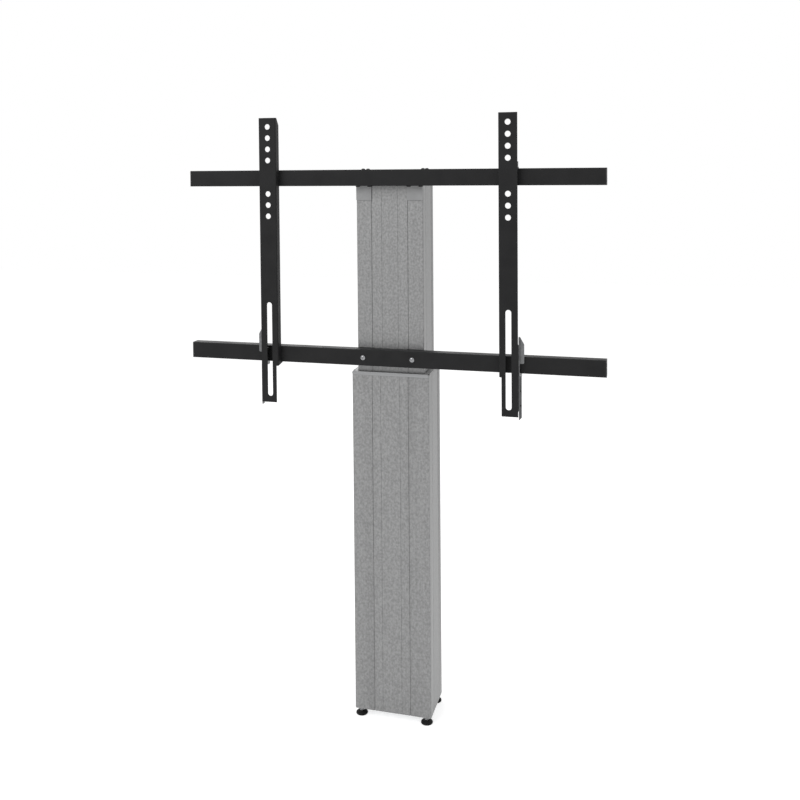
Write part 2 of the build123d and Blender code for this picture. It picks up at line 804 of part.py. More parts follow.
with BuildPart() as top_bracket:
    with BuildSketch(level(inner_top)):
        RectangleRounded(inner_width, inner_depth, inner_corner)
        with GridLocations(2 * port_x, 2 * port_y, 2, 2):
            Circle(port_bore, mode=Mode.SUBTRACT)
    extrude(amount=plate_thickness)
    with BuildSketch(front_plane(inner_front)):
        for x in (-tongue_x, tongue_x):
            with Locations((x, tongue_low)):
                Rectangle(tongue_width, plate_top - tongue_low, align=(Align.CENTER, Align.MIN))
    extrude(amount=tongue_sheet)
    with BuildSketch(level(inner_top)):
        Circle(tube_radius + press_gap + socket_wall)
        Circle(tube_radius + press_gap, mode=Mode.SUBTRACT)
    extrude(amount=-socket_depth)
top_bracket.part.label = "top_bracket"
export_step(top_bracket.part, "parts/top_bracket.step")

top_screw_length = 20.0
top_screw = button_screw(port_bore - press_gap, top_screw_length)
with BuildPart() as top_screws:
    top_spots = [(x, y, plate_top) for x in (-port_x, port_x) for y in (-port_y, port_y)]
    with Locations(*pointing((0, 0, 1), top_spots)):
        add(top_screw)
top_screws.part.label = "top_screws"
export_step(top_screws.part, "parts/top_screws.step")

# Push tube, hung from the top bracket, and the bronze nut that the screw drives
with BuildPart() as push_tube:
    with BuildSketch(level(nut_low + nut_flange_height)):
        Circle(tube_radius)
        Circle(tube_radius - tube_wall, mode=Mode.SUBTRACT)
    extrude(amount=inner_top - nut_low - nut_flange_height)
push_tube.part.label = "push_tube"
export_step(push_tube.part, "parts/push_tube.step")

with BuildPart() as lead_nut:
    with BuildSketch(level(nut_low)):
        Circle(tube_radius)
    extrude(amount=nut_flange_height)
    with BuildSketch(level(nut_low + nut_flange_height)):
        Circle(tube_radius - tube_wall - press_gap)
    extrude(amount=nut_spigot_height)
    with BuildSketch(level(nut_low)):
        Circle(spindle_radius + run_gap)
    extrude(amount=nut_flange_height + nut_spigot_height, mode=Mode.SUBTRACT)
lead_nut.part.label = "lead_nut"
export_step(lead_nut.part, "parts/lead_nut.step")

# Plastic glides: eight in the outer column's mouth, eight round the inner column's foot
glide_width = 30.0
glide_height = 45.0
glide_inset = 4.0
glide_edge = 6.5
glide_x = inner_width / 2 - glide_width / 2 - glide_edge


def glide_ring(width, depth, front_thickness, side_thickness, inwards):
    """Pads on the front, back and sides of a rectangle, lying inside or outside it."""
    sign = -1 if inwards else 1
    for y in (-1, 1):
        with Locations(
            (-glide_x, y * (depth / 2 + sign * front_thickness / 2)),
            (glide_x, y * (depth / 2 + sign * front_thickness / 2)),
        ):
            Rectangle(glide_width, front_thickness)
    for x in (-1, 1):
        with Locations((x * (width / 2 + sign * side_thickness / 2), 0)):
            Rectangle(side_thickness, glide_width)


with BuildPart() as outer_glides:
    with BuildSketch(level(profile_top - glide_inset - glide_height)):
        glide_ring(bore_width, bore_depth, front_gap - slide_gap, side_gap - slide_gap, True)
    extrude(amount=glide_height)
outer_glides.part.label = "outer_glides"
export_step(outer_glides.part, "parts/outer_glides.step")

with BuildPart() as inner_glides:
    with BuildSketch(level(inner_start + glide_inset)):
        glide_ring(inner_width, inner_depth, front_gap - slide_gap, side_gap - slide_gap, False)
    extrude(amount=glide_height)
inner_glides.part.label = "inner_glides"
export_step(inner_glides.part, "parts/inner_glides.step")

# Bars: rectangular tube with closed ends, the upper one welded to the tongues
cap_flange = 2.0
cap_plug = 12.0
tube_length = bar_length - 2 * cap_flange
bar_middle_y = (bar_front + bar_back) / 2

for bar_name, bar_z in (("upper_bar", upper_bar_z), ("lower_bar", lower_bar_z)):
    with BuildPart() as bar:
        with BuildSketch(side_plane(-tube_length / 2)):
            with Locations((bar_middle_y, bar_z)):
                RectangleRounded(bar_depth, bar_height, bar_corner)
                Rectangle(bar_depth - 2 * bar_wall, bar_height - 2 * bar_wall, mode=Mode.SUBTRACT)
        extrude(amount=tube_length)
        if bar_name == "lower_bar":
            with BuildSketch(front_plane(bar_back)):
                with Locations((-bar_screw_x, bar_z), (bar_screw_x, bar_z)):
                    Circle(bar_screw_radius + run_gap)
            extrude(amount=bar_depth, mode=Mode.SUBTRACT)
    bar.part.label = bar_name
    export_step(bar.part, f"parts/{bar_name}.step")

with BuildPart() as bar_end_caps:
    for bar_z in (upper_bar_z, lower_bar_z):
        for end in (-1, 1):
            with BuildSketch(side_plane(end * tube_length / 2)):
                with Locations((bar_middle_y, bar_z)):
                    RectangleRounded(bar_depth, bar_height, bar_corner)
            extrude(amount=end * cap_flange)
            with BuildSketch(side_plane(end * tube_length / 2)):
                with Locations((bar_middle_y, bar_z)):
                    Rectangle(
                        bar_depth - 2 * bar_wall - 2 * fit_gap, bar_height - 2 * bar_wall - 2 * fit_gap
                    )
            extrude(amount=-end * cap_plug)
bar_end_caps.part.label = "bar_end_caps"
export_step(bar_end_caps.part, "parts/bar_end_caps.step")

with BuildPart() as bar_spacers:
    with BuildSketch(front_plane(inner_front)):
        with Locations((-bar_screw_x, lower_bar_z), (bar_screw_x, lower_bar_z)):
            Rectangle(tongue_width, bar_height)
            Circle(bar_screw_radius + run_gap, mode=Mode.SUBTRACT)
    extrude(amount=tongue_sheet)
bar_spacers.part.label = "bar_spacers"
export_step(bar_spacers.part, "parts/bar_spacers.step")

bar_nut_height = 5.0
bar_screw = button_screw(bar_screw_radius, bar_depth + tongue_sheet + inner_wall + bar_nut_height)
with BuildPart() as lower_bar_screws:
    bar_spots = [(x, bar_front, lower_bar_z) for x in (-bar_screw_x, bar_screw_x)]
    with Locations(*pointing((0, -1, 0), bar_spots)):
        add(bar_screw)
lower_bar_screws.part.label = "lower_bar_screws"
export_step(lower_bar_screws.part, "parts/lower_bar_screws.step")

bar_nut = hex_nut(bar_screw_radius, bar_nut_height)
with BuildPart() as lower_bar_nuts:
    nut_spots = [(x, inner_front + inner_wall, lower_bar_z) for x in (-bar_screw_x, bar_screw_x)]
    with Locations(*pointing((0, 1, 0), nut_spots)):
        add(bar_nut)
lower_bar_nuts.part.label = "lower_bar_nuts"
export_step(lower_bar_nuts.part, "parts/lower_bar_nuts.step")

# Right arm: a face strip with round holes clear of the bar and a slot, an inner flange whose toe hooks
# under the lower bar, and two short outer ears, of which the lower carries the latch
arm_front = bar_front - slide_gap - arm_flange
arm_x = arm_spacing / 2
arm_outer = arm_x + arm_width / 2
arm_inner = arm_x - arm_width / 2
face_back = arm_front + arm_sheet
flange_back = arm_front + arm_flange
top_hole_z = upper_bar_z + hole_above_bar
last_hole_z = top_hole_z - (hole_rows - 1) * hole_pitch
slot_high_z = last_hole_z - slot_drop
slot_low_z = slot_high_z - slot_travel
arm_top = top_hole_z + end_margin
arm_low = slot_low_z - end_margin
lower_bar_low = lower_bar_z - bar_height / 2
lower_bar_high = lower_bar_z + bar_height / 2
lower_trim = 5.0
flange_chamfer_y = 12.0
flange_chamfer_z = 16.0
toe_reach = 8.0
toe_drop = 6.0
toe_slant = 4.0
toe_low = lower_bar_low - toe_drop

# Latch sizes that the ear shares
latch_travel = 8.0
latch_pin_radius = 2.2
latch_pin_depth = 9.0
ear_depth = 15.0
ear_above_bar = 26.0
ear_drop = 78.0
pin_above_centre = 10.0
pin_below_bar = 53.0
ear_high = lower_bar_high + ear_above_bar
ear_low = lower_bar_low - ear_drop
high_pin_z = lower_bar_z + pin_above_centre
low_pin_z = lower_bar_low - pin_below_bar
pin_y = arm_front + latch_pin_depth
ear_slot_half = latch_pin_radius + slide_gap
upper_ear_gap = 0.5
upper_ear_height = 14.0
upper_bar_high = upper_bar_z + bar_height / 2

with BuildPart() as right_arm:
    with BuildSketch(front_plane(face_back)):
        with Locations((arm_inner, toe_low)):
            Rectangle(arm_width, arm_top - toe_low, align=(Align.MIN, Align.MIN))
        with Locations((arm_outer, arm_low)):
            Rectangle(arm_width - lower_trim, toe_low - arm_low, align=(Align.MAX, Align.MIN))
        for row in (*range(upper_hole_rows), *range(hole_rows - lower_hole_rows, hole_rows)):
            with Locations((arm_x, top_hole_z - row * hole_pitch)):
                Circle(hole_radius, mode=Mode.SUBTRACT)
        with Locations((arm_x, (slot_high_z + slot_low_z) / 2)):
            SlotCenterToCenter(slot_travel, 2 * hole_radius, rotation=90, mode=Mode.SUBTRACT)
    extrude(amount=arm_sheet)
    with BuildSketch(side_plane(arm_inner)):
        with BuildLine():
            Polyline(
                (arm_front, arm_top),
                (flange_back - flange_chamfer_y, arm_top),
                (flange_back, arm_top - flange_chamfer_z),
                (flange_back, lower_bar_low - slide_gap),
                (bar_front + toe_reach, lower_bar_low - slide_gap),
                (bar_front + toe_reach, lower_bar_low - slide_gap - toe_drop + toe_slant),
                (face_back, toe_low),
                (arm_front, toe_low),
                close=True,
            )
        make_face()
    extrude(amount=arm_sheet)
    with BuildSketch(side_plane(arm_outer)):
        with Locations((arm_front, ear_low)):
            Rectangle(ear_depth, ear_high - ear_low, align=(Align.MIN, Align.MIN))
        with Locations((arm_front, upper_bar_high + upper_ear_gap)):
            Rectangle(ear_depth, upper_ear_height, align=(Align.MIN, Align.MIN))
        for pin_z in (high_pin_z, low_pin_z):
            with Locations((pin_y, pin_z - latch_travel / 2)):
                SlotCenterToCenter(latch_travel, 2 * ear_slot_half, rotation=90, mode=Mode.SUBTRACT)
    extrude(amount=-arm_sheet)
right_arm.part.label = "right_arm"
export_step(right_arm.part, "parts/right_arm.step")

# Right hook, a bent strip on the arm's back that hangs over the upper bar
hook_sheet = 3.0
hook_width = 10.0
hook_edge = 3.0
hook_rise = 13.0
hook_drop = 14.0
hook_low = upper_bar_high + slide_gap
hook_back = bar_back + slide_gap + hook_sheet

with BuildPart() as right_hook:
    with BuildSketch(side_plane(arm_outer - hook_edge - hook_width)):
        with BuildLine():
            Polyline(
                (face_back, hook_low + hook_rise),
                (face_back + hook_sheet, hook_low + hook_rise),
                (face_back + hook_sheet, hook_low + hook_sheet),
                (hook_back, hook_low + hook_sheet),
                (hook_back, upper_bar_high - hook_drop),
                (hook_back - hook_sheet, upper_bar_high - hook_drop),
                (hook_back - hook_sheet, hook_low),
                (face_back, hook_low),
                close=True,
            )
        make_face()
    extrude(amount=hook_width)
right_hook.part.label = "right_hook"
export_step(right_hook.part, "parts/right_hook.step")

# Right latch: a zinc-plated plate on the ear, with a thumb fin, a nose that closes
# behind the lower bar, a pull strip with two rivets, and two guide pins
latch_gap = 0.5
latch_sheet = 2.0
latch_front_inset = 6.0
latch_depth = 9.0
fin_reach = 9.0
fin_above_bar = 43.0
fin_above_centre = 4.0
fin_slope = 16.0
fin_round = 3.0
nose_below_bar = 3.0
nose_height = 9.0
nose_sheet = 4.0
nose_rise = 6.0
strip_drop = 96.0
strip_reach = 3.5
strip_slope = 3.0
rivet_radius = 1.5
rivet_height = 0.6
lower_rivet = 29.0
upper_rivet = 60.0
pin_head_radius = 3.6
pin_head_height = 1.0
housing_wall = 1.5
housing_reach = 9.5
ear_inside = arm_outer - arm_sheet
housing_inner_x = ear_inside - housing_reach + housing_wall
latch_inner_x = arm_outer + latch_gap
latch_outer_x = latch_inner_x + latch_sheet
latch_y = arm_front + latch_front_inset
latch_high = lower_bar_high + fin_above_bar
latch_low = lower_bar_low - strip_drop
nose_high = lower_bar_low - nose_below_bar
nose_back = bar_back + latch_gap + nose_sheet

with BuildPart() as right_latch:
    with BuildSketch(side_plane(latch_inner_x)):
        with Locations((latch_y, latch_low)):
            Rectangle(latch_depth, latch_high - latch_low, align=(Align.MIN, Align.MIN))
        with BuildLine():
            Polyline(
                (latch_y, nose_high - nose_height),
                (nose_back, nose_high - nose_height),
                (nose_back, lower_bar_low + nose_rise),
                (nose_back - nose_sheet, lower_bar_low + nose_rise),
                (nose_back - nose_sheet, nose_high),
                (latch_y, nose_high),
                close=True,
            )
        make_face()
    extrude(amount=latch_sheet)
    with BuildSketch(front_plane(latch_y + latch_depth)):
        with BuildLine():
            Polyline(
                (latch_outer_x, latch_high),
                (latch_outer_x + fin_reach, latch_high - fin_slope),
                (latch_outer_x + fin_reach, lower_bar_z + fin_above_centre),
                (latch_outer_x, lower_bar_z + fin_above_centre),
                close=True,
            )
        make_face()
    extrude(amount=latch_sheet)
    fin_corners = right_latch.edges().filter_by(Axis.Y).group_by(Axis.X)[-1]
    fillet(fin_corners, radius=fin_round)
    with BuildSketch(front_plane(latch_y + latch_depth)):
        with BuildLine():
            Polyline(
                (latch_outer_x, nose_high),
                (latch_outer_x + strip_reach, nose_high - strip_slope),
                (latch_outer_x + strip_reach, latch_low + strip_slope),
                (latch_outer_x, latch_low),
                close=True,
            )
        make_face()
    extrude(amount=latch_sheet)
    with BuildSketch(front_plane(latch_y + latch_depth - latch_sheet)):
        for height in (lower_rivet, upper_rivet):
            with Locations((latch_outer_x + strip_reach / 2, latch_low + height)):
                Circle(rivet_radius)
    extrude(amount=rivet_height)
    with BuildSketch(side_plane(latch_inner_x)):
        with Locations((pin_y, high_pin_z)):
            Circle(latch_pin_radius)
    extrude(amount=-(latch_inner_x - housing_inner_x - slide_gap))
    with BuildSketch(side_plane(latch_inner_x)):
        with Locations((pin_y, low_pin_z)):
            Circle(latch_pin_radius)
    extrude(amount=-(latch_gap + arm_sheet + slide_gap))
    with BuildSketch(side_plane(arm_outer - arm_sheet - slide_gap)):
        with Locations((pin_y, low_pin_z)):
            Circle(pin_head_radius)
    extrude(amount=-pin_head_height)
right_latch.part.label = "right_latch"
export_step(right_latch.part, "parts/right_latch.step")

# Right spring housing on the ear's inner side, and the return spring under the upper pin
housing_depth = 11.0
housing_clear = 1.0
spring_length = 16.0
spring_radius = 3.0
housing_y = pin_y - housing_depth / 2
spring_high = high_pin_z - latch_pin_radius
spring_low = spring_high - spring_length
housing_low = spring_low - housing_wall
housing_high = high_pin_z + latch_pin_radius + housing_clear + housing_wall

with BuildPart() as right_spring_housing:
    with BuildSketch(side_plane(ear_inside)):
        with Locations((housing_y, housing_low)):
            Rectangle(housing_depth, housing_high - housing_low, align=(Align.MIN, Align.MIN))
    extrude(amount=-housing_reach)
    with BuildSketch(side_plane(ear_inside)):
        with Locations((housing_y + housing_wall, spring_low)):
            Rectangle(
                housing_depth - 2 * housing_wall,
                housing_high - housing_wall - spring_low,
                align=(Align.MIN, Align.MIN),
            )
    extrude(amount=-(housing_reach - housing_wall), mode=Mode.SUBTRACT)
right_spring_housing.part.label = "right_spring_housing"
export_step(right_spring_housing.part, "parts/right_spring_housing.step")

with BuildPart() as right_latch_spring:
    with BuildSketch(level(spring_low)):
        with Locations((ear_inside - (housing_reach - housing_wall) / 2, pin_y)):
            Circle(spring_radius)
            Circle(spring_radius / 2, mode=Mode.SUBTRACT)
    extrude(amount=spring_length - slide_gap)
right_latch_spring.part.label = "right_latch_spring"
export_step(right_latch_spring.part, "parts/right_latch_spring.step")

# Left arm and its fittings, the mirror image of the right ones
for right_piece in (right_arm, right_hook, right_latch, right_spring_housing, right_latch_spring):
    with BuildPart() as left_piece:
        mirror(right_piece.part, about=Plane.YZ)
    left_piece.part.label = right_piece.part.label.replace("right", "left")
    export_step(left_piece.part, f"parts/{left_piece.part.label}.step")
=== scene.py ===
from math import atan2, ceil, cos, hypot, pi, radians, sin

import bmesh
import bpy
from mathutils import Matrix, Vector


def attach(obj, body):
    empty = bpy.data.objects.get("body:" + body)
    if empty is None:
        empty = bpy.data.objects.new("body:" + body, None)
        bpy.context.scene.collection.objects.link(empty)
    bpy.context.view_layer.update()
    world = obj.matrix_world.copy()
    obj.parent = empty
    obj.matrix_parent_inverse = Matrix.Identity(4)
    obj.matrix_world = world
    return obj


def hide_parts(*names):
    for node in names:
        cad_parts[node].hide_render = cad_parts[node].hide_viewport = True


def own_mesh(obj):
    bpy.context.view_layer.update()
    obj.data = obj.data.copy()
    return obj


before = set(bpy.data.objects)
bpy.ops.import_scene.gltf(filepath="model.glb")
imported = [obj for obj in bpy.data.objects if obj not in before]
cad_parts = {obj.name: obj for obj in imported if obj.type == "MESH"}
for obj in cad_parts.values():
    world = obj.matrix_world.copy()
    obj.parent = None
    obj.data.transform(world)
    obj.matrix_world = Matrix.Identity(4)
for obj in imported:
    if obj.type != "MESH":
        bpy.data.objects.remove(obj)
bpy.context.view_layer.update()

# Camera, studio floor and soft lamps. The lift is seen from the front, a little from its
# right, at the height of the upper crossbar. The backdrop is plain white, and the pale
# floor keeps the shadow under the feet.
yaw = radians(15.18)
pitch = radians(2.0)
roll = radians(-0.45)
standpoint = (0.5533, -1.9987, 1.2356)
frame_pixels = 800
focal_pixels = 916.3
horizon_row = 202.8
sensor_width = 36
ahead = Vector((-sin(yaw) * cos(pitch), cos(yaw) * cos(pitch), -sin(pitch)))
level_right = Vector((cos(yaw), sin(yaw), 0))
level_up = level_right.cross(ahead)
right = level_right * cos(roll) + level_up * sin(roll)
up = level_up * cos(roll) - level_right * sin(roll)
camera_data = bpy.data.cameras.new("camera")
camera_data.lens = focal_pixels / frame_pixels * sensor_width
camera_data.shift_y = (horizon_row - frame_pixels / 2) / frame_pixels
camera_data.clip_start = 0.05
camera = bpy.data.objects.new("camera", camera_data)
bpy.context.collection.objects.link(camera)
turn = Matrix((right, up, -ahead)).transposed().to_4x4()
camera.matrix_world = Matrix.Translation(standpoint) @ turn
bpy.context.scene.camera = camera
bpy.context.scene.view_settings.view_transform = "Standard"


def seen_directly(tree):
    """1 for rays from the camera and for mirrored or refracted ones, 0 for the rest."""
    path = tree.nodes.new("ShaderNodeLightPath")
    value = path.outputs["Is Camera Ray"]
    for kind in ("Is Glossy Ray", "Is Transmission Ray"):
        either = tree.nodes.new("ShaderNodeMath")
        either.operation = "MAXIMUM"
        tree.links.new(value, either.inputs[0])
        tree.links.new(path.outputs[kind], either.inputs[1])
        value = either.outputs[0]
    return value


world = bpy.data.worlds.new("studio")
bpy.context.scene.world = world
world.use_nodes = True
studio = world.node_tree
strength = studio.nodes.new("ShaderNodeMapRange")
strength.inputs["To Min"].default_value = 0.55
strength.inputs["To Max"].default_value = 1.0
studio.links.new(seen_directly(studio), strength.inputs["Value"])
background = studio.nodes["Background"]
background.inputs["Color"].default_value = (1, 1, 1, 1)
studio.links.new(strength.outputs["Result"], background.inputs["Strength"])

floor_bm = bmesh.new()
bmesh.ops.create_grid(floor_bm, x_segments=1, y_segments=1, size=8)
floor_mesh = bpy.data.meshes.new("studio_floor")
floor_bm.to_mesh(floor_mesh)
floor_bm.free()
studio_floor = bpy.data.objects.new("studio_floor", floor_mesh)
bpy.context.collection.objects.link(studio_floor)
floor_finish = bpy.data.materials.new("studio_floor")
floor_finish.use_nodes = True
tree = floor_finish.node_tree
tree.nodes.remove(tree.nodes["Principled BSDF"])
matt = tree.nodes.new("ShaderNodeBsdfDiffuse")
matt.inputs["Color"].default_value = (0.86, 0.86, 0.86, 1)
glow = tree.nodes.new("ShaderNodeEmission")
glow_level = tree.nodes.new("ShaderNodeMath")
glow_level.operation = "MULTIPLY"
glow_level.inputs[1].default_value = 0.56
both = tree.nodes.new("ShaderNodeAddShader")
tree.links.new(seen_directly(tree), glow_level.inputs[0])
tree.links.new(glow_level.outputs[0], glow.inputs["Strength"])
tree.links.new(matt.outputs[0], both.inputs[0])
tree.links.new(glow.outputs[0], both.inputs[1])
tree.links.new(both.outputs[0], tree.nodes["Material Output"].inputs["Surface"])
floor_mesh.materials.append(floor_finish)

for lamp_name, place, aim, width, power in (
    ("key_lamp", (-1.4, -2.6, 2.9), (0, 0, 0.8), 2.2, 42),
    ("side_lamp", (2.6, 0.6, 1.7), (0, 0, 0.8), 1.8, 6),
    ("back_lamp", (-1.2, 2.4, 2.6), (0, 0, 0.9), 1.8, 22),
):
    lamp_data = bpy.data.lights.new(lamp_name, "AREA")
    lamp_data.size = width
    lamp_data.energy = power
    lamp = bpy.data.objects.new(lamp_name, lamp_data)
    lamp.location = place
    lamp.rotation_euler = (Vector(aim) - Vector(place)).to_track_quat("-Z", "Y").to_euler()
    bpy.context.collection.objects.link(lamp)

# Outer column: an aluminium extrusion with fine grooves along its faces, cut to length,
# anodised a satin silver-grey, and stood on its base plate. Its ends are deburred.


def finish(name, colour, metallic, roughness, specular=0.5):
    """A new material with one Principled shader."""
    material = bpy.data.materials.new(name)
    material.use_nodes = True
    shader = material.node_tree.nodes["Principled BSDF"]
    shader.inputs["Base Color"].default_value = (*colour, 1)
    shader.inputs["Metallic"].default_value = metallic
    shader.inputs["Roughness"].default_value = roughness
    shader.inputs["Specular IOR Level"].default_value = specular
    return material


def pattern(material, scale, stretch=(1, 1, 1), detail=2.0):
    """Noise on Object coordinates, in features per metre; stretch squeezes it along an axis."""
    nodes, links = material.node_tree.nodes, material.node_tree.links
    coordinates = nodes.new("ShaderNodeTexCoord")
    mapping = nodes.new("ShaderNodeMapping")
    mapping.inputs["Scale"].default_value = stretch
    noise = nodes.new("ShaderNodeTexNoise")
    noise.inputs["Scale"].default_value = scale
    noise.inputs["Detail"].default_value = detail
    links.new(coordinates.outputs["Object"], mapping.inputs["Vector"])
    links.new(mapping.outputs["Vector"], noise.inputs["Vector"])
    return noise.outputs["Fac"]


def blended(material, value, low, high, start=0.3, end=0.7):
    """Maps a pattern's value to a colour between low and high."""
    ramp = material.node_tree.nodes.new("ShaderNodeValToRGB")
    ramp.color_ramp.elements[0].position = start
    ramp.color_ramp.elements[0].color = (*low, 1)
    ramp.color_ramp.elements[1].position = end
    ramp.color_ramp.elements[1].color = (*high, 1)
    material.node_tree.links.new(value, ramp.inputs["Fac"])
    return ramp.outputs["Color"]


def ranged(material, value, low, high):
    """Maps a pattern's value, mostly between 0.3 and 0.7, to a number."""
    spread = material.node_tree.nodes.new("ShaderNodeMapRange")
    spread.inputs["From Min"].default_value = 0.3
    spread.inputs["From Max"].default_value = 0.7
    spread.inputs["To Min"].default_value = low
    spread.inputs["To Max"].default_value = high
    material.node_tree.links.new(value, spread.inputs["Value"])
    return spread.outputs["Result"]


def mixed(material, first, second, share):
    """Multiplies one colour by another by a fixed share."""
    mix = material.node_tree.nodes.new("ShaderNodeMix")
    mix.data_type = "RGBA"
    mix.blend_type = "MULTIPLY"
    mix.inputs["Factor"].default_value = share
    material.node_tree.links.new(first, mix.inputs["A"])
    material.node_tree.links.new(second, mix.inputs["B"])
    return mix.outputs["Result"]


def textured(material, colour=None, roughness=None, height=None, depth=0.0001, strength=0.5):
    """Feeds patterns to the shader's colour, roughness and bump."""
    nodes, links = material.node_tree.nodes, material.node_tree.links
    shader = nodes["Principled BSDF"]
    if colour is not None:
        links.new(colour, shader.inputs["Base Color"])
    if roughness is not None:
        links.new(roughness, shader.inputs["Roughness"])
    if height is not None:
        bump = nodes.new("ShaderNodeBump")
        bump.inputs["Distance"].default_value = depth
        bump.inputs["Strength"].default_value = strength
        links.new(height, bump.inputs["Height"])
        links.new(bump.outputs["Normal"], shader.inputs["Normal"])


def settled(name, bm, material, body, slot, *nodes):
    """Makes an object of a finished bmesh, rides it on a body and lets it stand for CAD nodes."""
    mesh = bpy.data.meshes.new(name)
    bm.to_mesh(mesh)
    bm.free()
    mesh.materials.append(material)
    mesh.shade_smooth()
    mesh.set_sharp_from_angle(angle=radians(38))
    piece = bpy.data.objects.new(name, mesh)
    bpy.context.collection.objects.link(piece)
    if nodes:
        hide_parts(*nodes)
    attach(piece, body)
    return piece


def node_copy(node):
    """A merged copy of a CAD node's mesh, with its flat faces whole again."""
    bm = bmesh.new()
    bm.from_mesh(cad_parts[node].data)
    bmesh.ops.remove_doubles(bm, verts=bm.verts, dist=0.000002)
    bmesh.ops.dissolve_limit(bm, angle_limit=radians(0.5), verts=bm.verts, edges=bm.edges)
    return bm


def eased(piece, width, segments=2, angle=32):
    """Rounds a piece's sharp edges by a small radius."""
    bevel = piece.modifiers.new("eased_edges", "BEVEL")
    bevel.width = width
    bevel.segments = segments
    bevel.limit_method = "ANGLE"
    bevel.angle_limit = radians(angle)
    bevel.harden_normals = True
    bevel.use_clamp_overlap = True
    return piece


def dressed(name, node, material, body, slot, edge, segments=2):
    """A merged copy of a CAD node in its own finish, with its sharp edges eased."""
    return eased(settled(name, node_copy(node), material, body, slot, node), edge, segments)


anodised = finish("anodised_column", (0.29, 0.293, 0.297), 0.6, 0.46, 0.4)
drawn_lines = pattern(anodised, 260, (1, 1, 0.004), 3)
mottle = pattern(anodised, 230, (1, 1, 0.8), 4)
grain = pattern(anodised, 1500, detail=1)
column_colour = mixed(
    anodised,
    blended(anodised, drawn_lines, (0.327, 0.328, 0.329), (0.35, 0.351, 0.352)),
    blended(anodised, mottle, (0.56, 0.56, 0.56), (1.0, 1.0, 1.0)),
    0.8,
)
textured(anodised, column_colour, ranged(anodised, mottle, 0.38, 0.54), grain, 0.00006, 0.35)
dressed("outer_column", "outer_profile", anodised, "stand", "column", 0.0003, 1)

# Collar and front lip: a stamped aluminium frame pressed over the outer column's mouth,
# and a satin drawn strip clipped across the top of its front face.
brightened = finish("satin_trim", (0.4, 0.404, 0.408), 0.85, 0.4)
trim_lines = pattern(brightened, 300, (0.01, 1, 1), 3)
textured(
    brightened,
    blended(brightened, trim_lines, (0.27, 0.273, 0.277), (0.32, 0.323, 0.327)),
    ranged(brightened, trim_lines, 0.36, 0.5),
    trim_lines,
    0.00002,
    0.3,
)
dressed("mouth_collar", "collar", anodised, "stand", "column", 0.0004)
dressed("bright_lip", "front_lip", brightened, "stand", "trim", 0.0003)

# Base plate: an 8 mm steel plate, zinc plated, let into the column's lower end and held by
# two button-head screws through the back wall. The four feet screw through its corners.
zinc_plated = finish("zinc_plated_sheet", (0.56, 0.57, 0.58), 0.9, 0.36)
spangle = pattern(zinc_plated, 90, detail=3)
sheet_grain = pattern(zinc_plated, 900, (1, 1, 0.25), 2)
textured(
    zinc_plated,
    blended(zinc_plated, spangle, (0.5, 0.51, 0.525), (0.62, 0.63, 0.64)),
    ranged(zinc_plated, spangle, 0.28, 0.46),
    sheet_grain,
    0.00004,
    0.3,
)
dressed("steel_base_plate", "base_plate", zinc_plated, "stand", "zinc_plate", 0.0006)


def turned(outline, steps=32):
    """A turned shape: an outline of (radius, height) points spun once round the Z axis."""
    part = bmesh.new()
    points = [part.verts.new((radius, 0, height)) for radius, height in outline]
    edges = [part.edges.new(pair) for pair in zip(points, points[1:])]
    bmesh.ops.spin(
        part,
        geom=points + edges,
        cent=(0, 0, 0),
        axis=(0, 0, 1),
        dvec=(0, 0, 0),
        angle=2 * pi,
        steps=steps,
        use_merge=True,
    )
    bmesh.ops.remove_doubles(part, verts=part.verts, dist=0.000002)
    bmesh.ops.recalc_face_normals(part, faces=part.faces)
    return part


def hexagon_reach(spot, flat):
    """Distance from the Z axis to a hexagon's side, in the direction of a point."""
    return flat / cos(atan2(spot.y, spot.x) % (pi / 3) - pi / 6)


def button_screw(radius, length):
    """A screw on the Z axis: a low domed head with a hex socket above z = 0, its shank below."""
    socket = 0.62 * radius
    part = turned(
        [
            (0, -length),
            (0.8 * radius, -length),
            (radius, -length + 0.25 * radius),
            (radius, 0),
            (1.84 * radius, 0),
            (1.9 * radius, 0.06 * radius),
            (1.9 * radius, 0.2 * radius),
            (1.84 * radius, 0.42 * radius),
            (1.68 * radius, 0.66 * radius),
            (1.42 * radius, 0.87 * radius),
            (1.12 * radius, 1.01 * radius),
            (0.86 * radius, 1.08 * radius),
            (1.12 * socket, 1.1 * radius),
            (socket, 1.04 * radius),
            (socket, 0.42 * radius),
            (0, 0.36 * radius),
        ],
        24,
    )
    for vert in part.verts:
        reach = hypot(vert.co.x, vert.co.y)
        if vert.co.z > 0 and 0 < reach < 1.2 * socket:
            wide = hexagon_reach(vert.co, cos(pi / 6)) * reach
            vert.co.x *= wide / reach
            vert.co.y *= wide / reach
    return part


def aimed(spot, direction):
    """The place of a part made on the Z axis that stands at a spot and points in a direction."""
    return Matrix.Translation(spot) @ Vector(direction).to_track_quat("Z", "Y").to_matrix().to_4x4()


def gathered(*groups):
    """One bmesh of parts, each added at every one of its places."""
    bm = bmesh.new()
    for part, places in groups:
        for place in places:
            copy = bpy.data.meshes.new("copy")
            part.to_mesh(copy)
            copy.transform(place)
            bm.from_mesh(copy)
            bpy.data.meshes.remove(copy)
        part.free()
    return bm


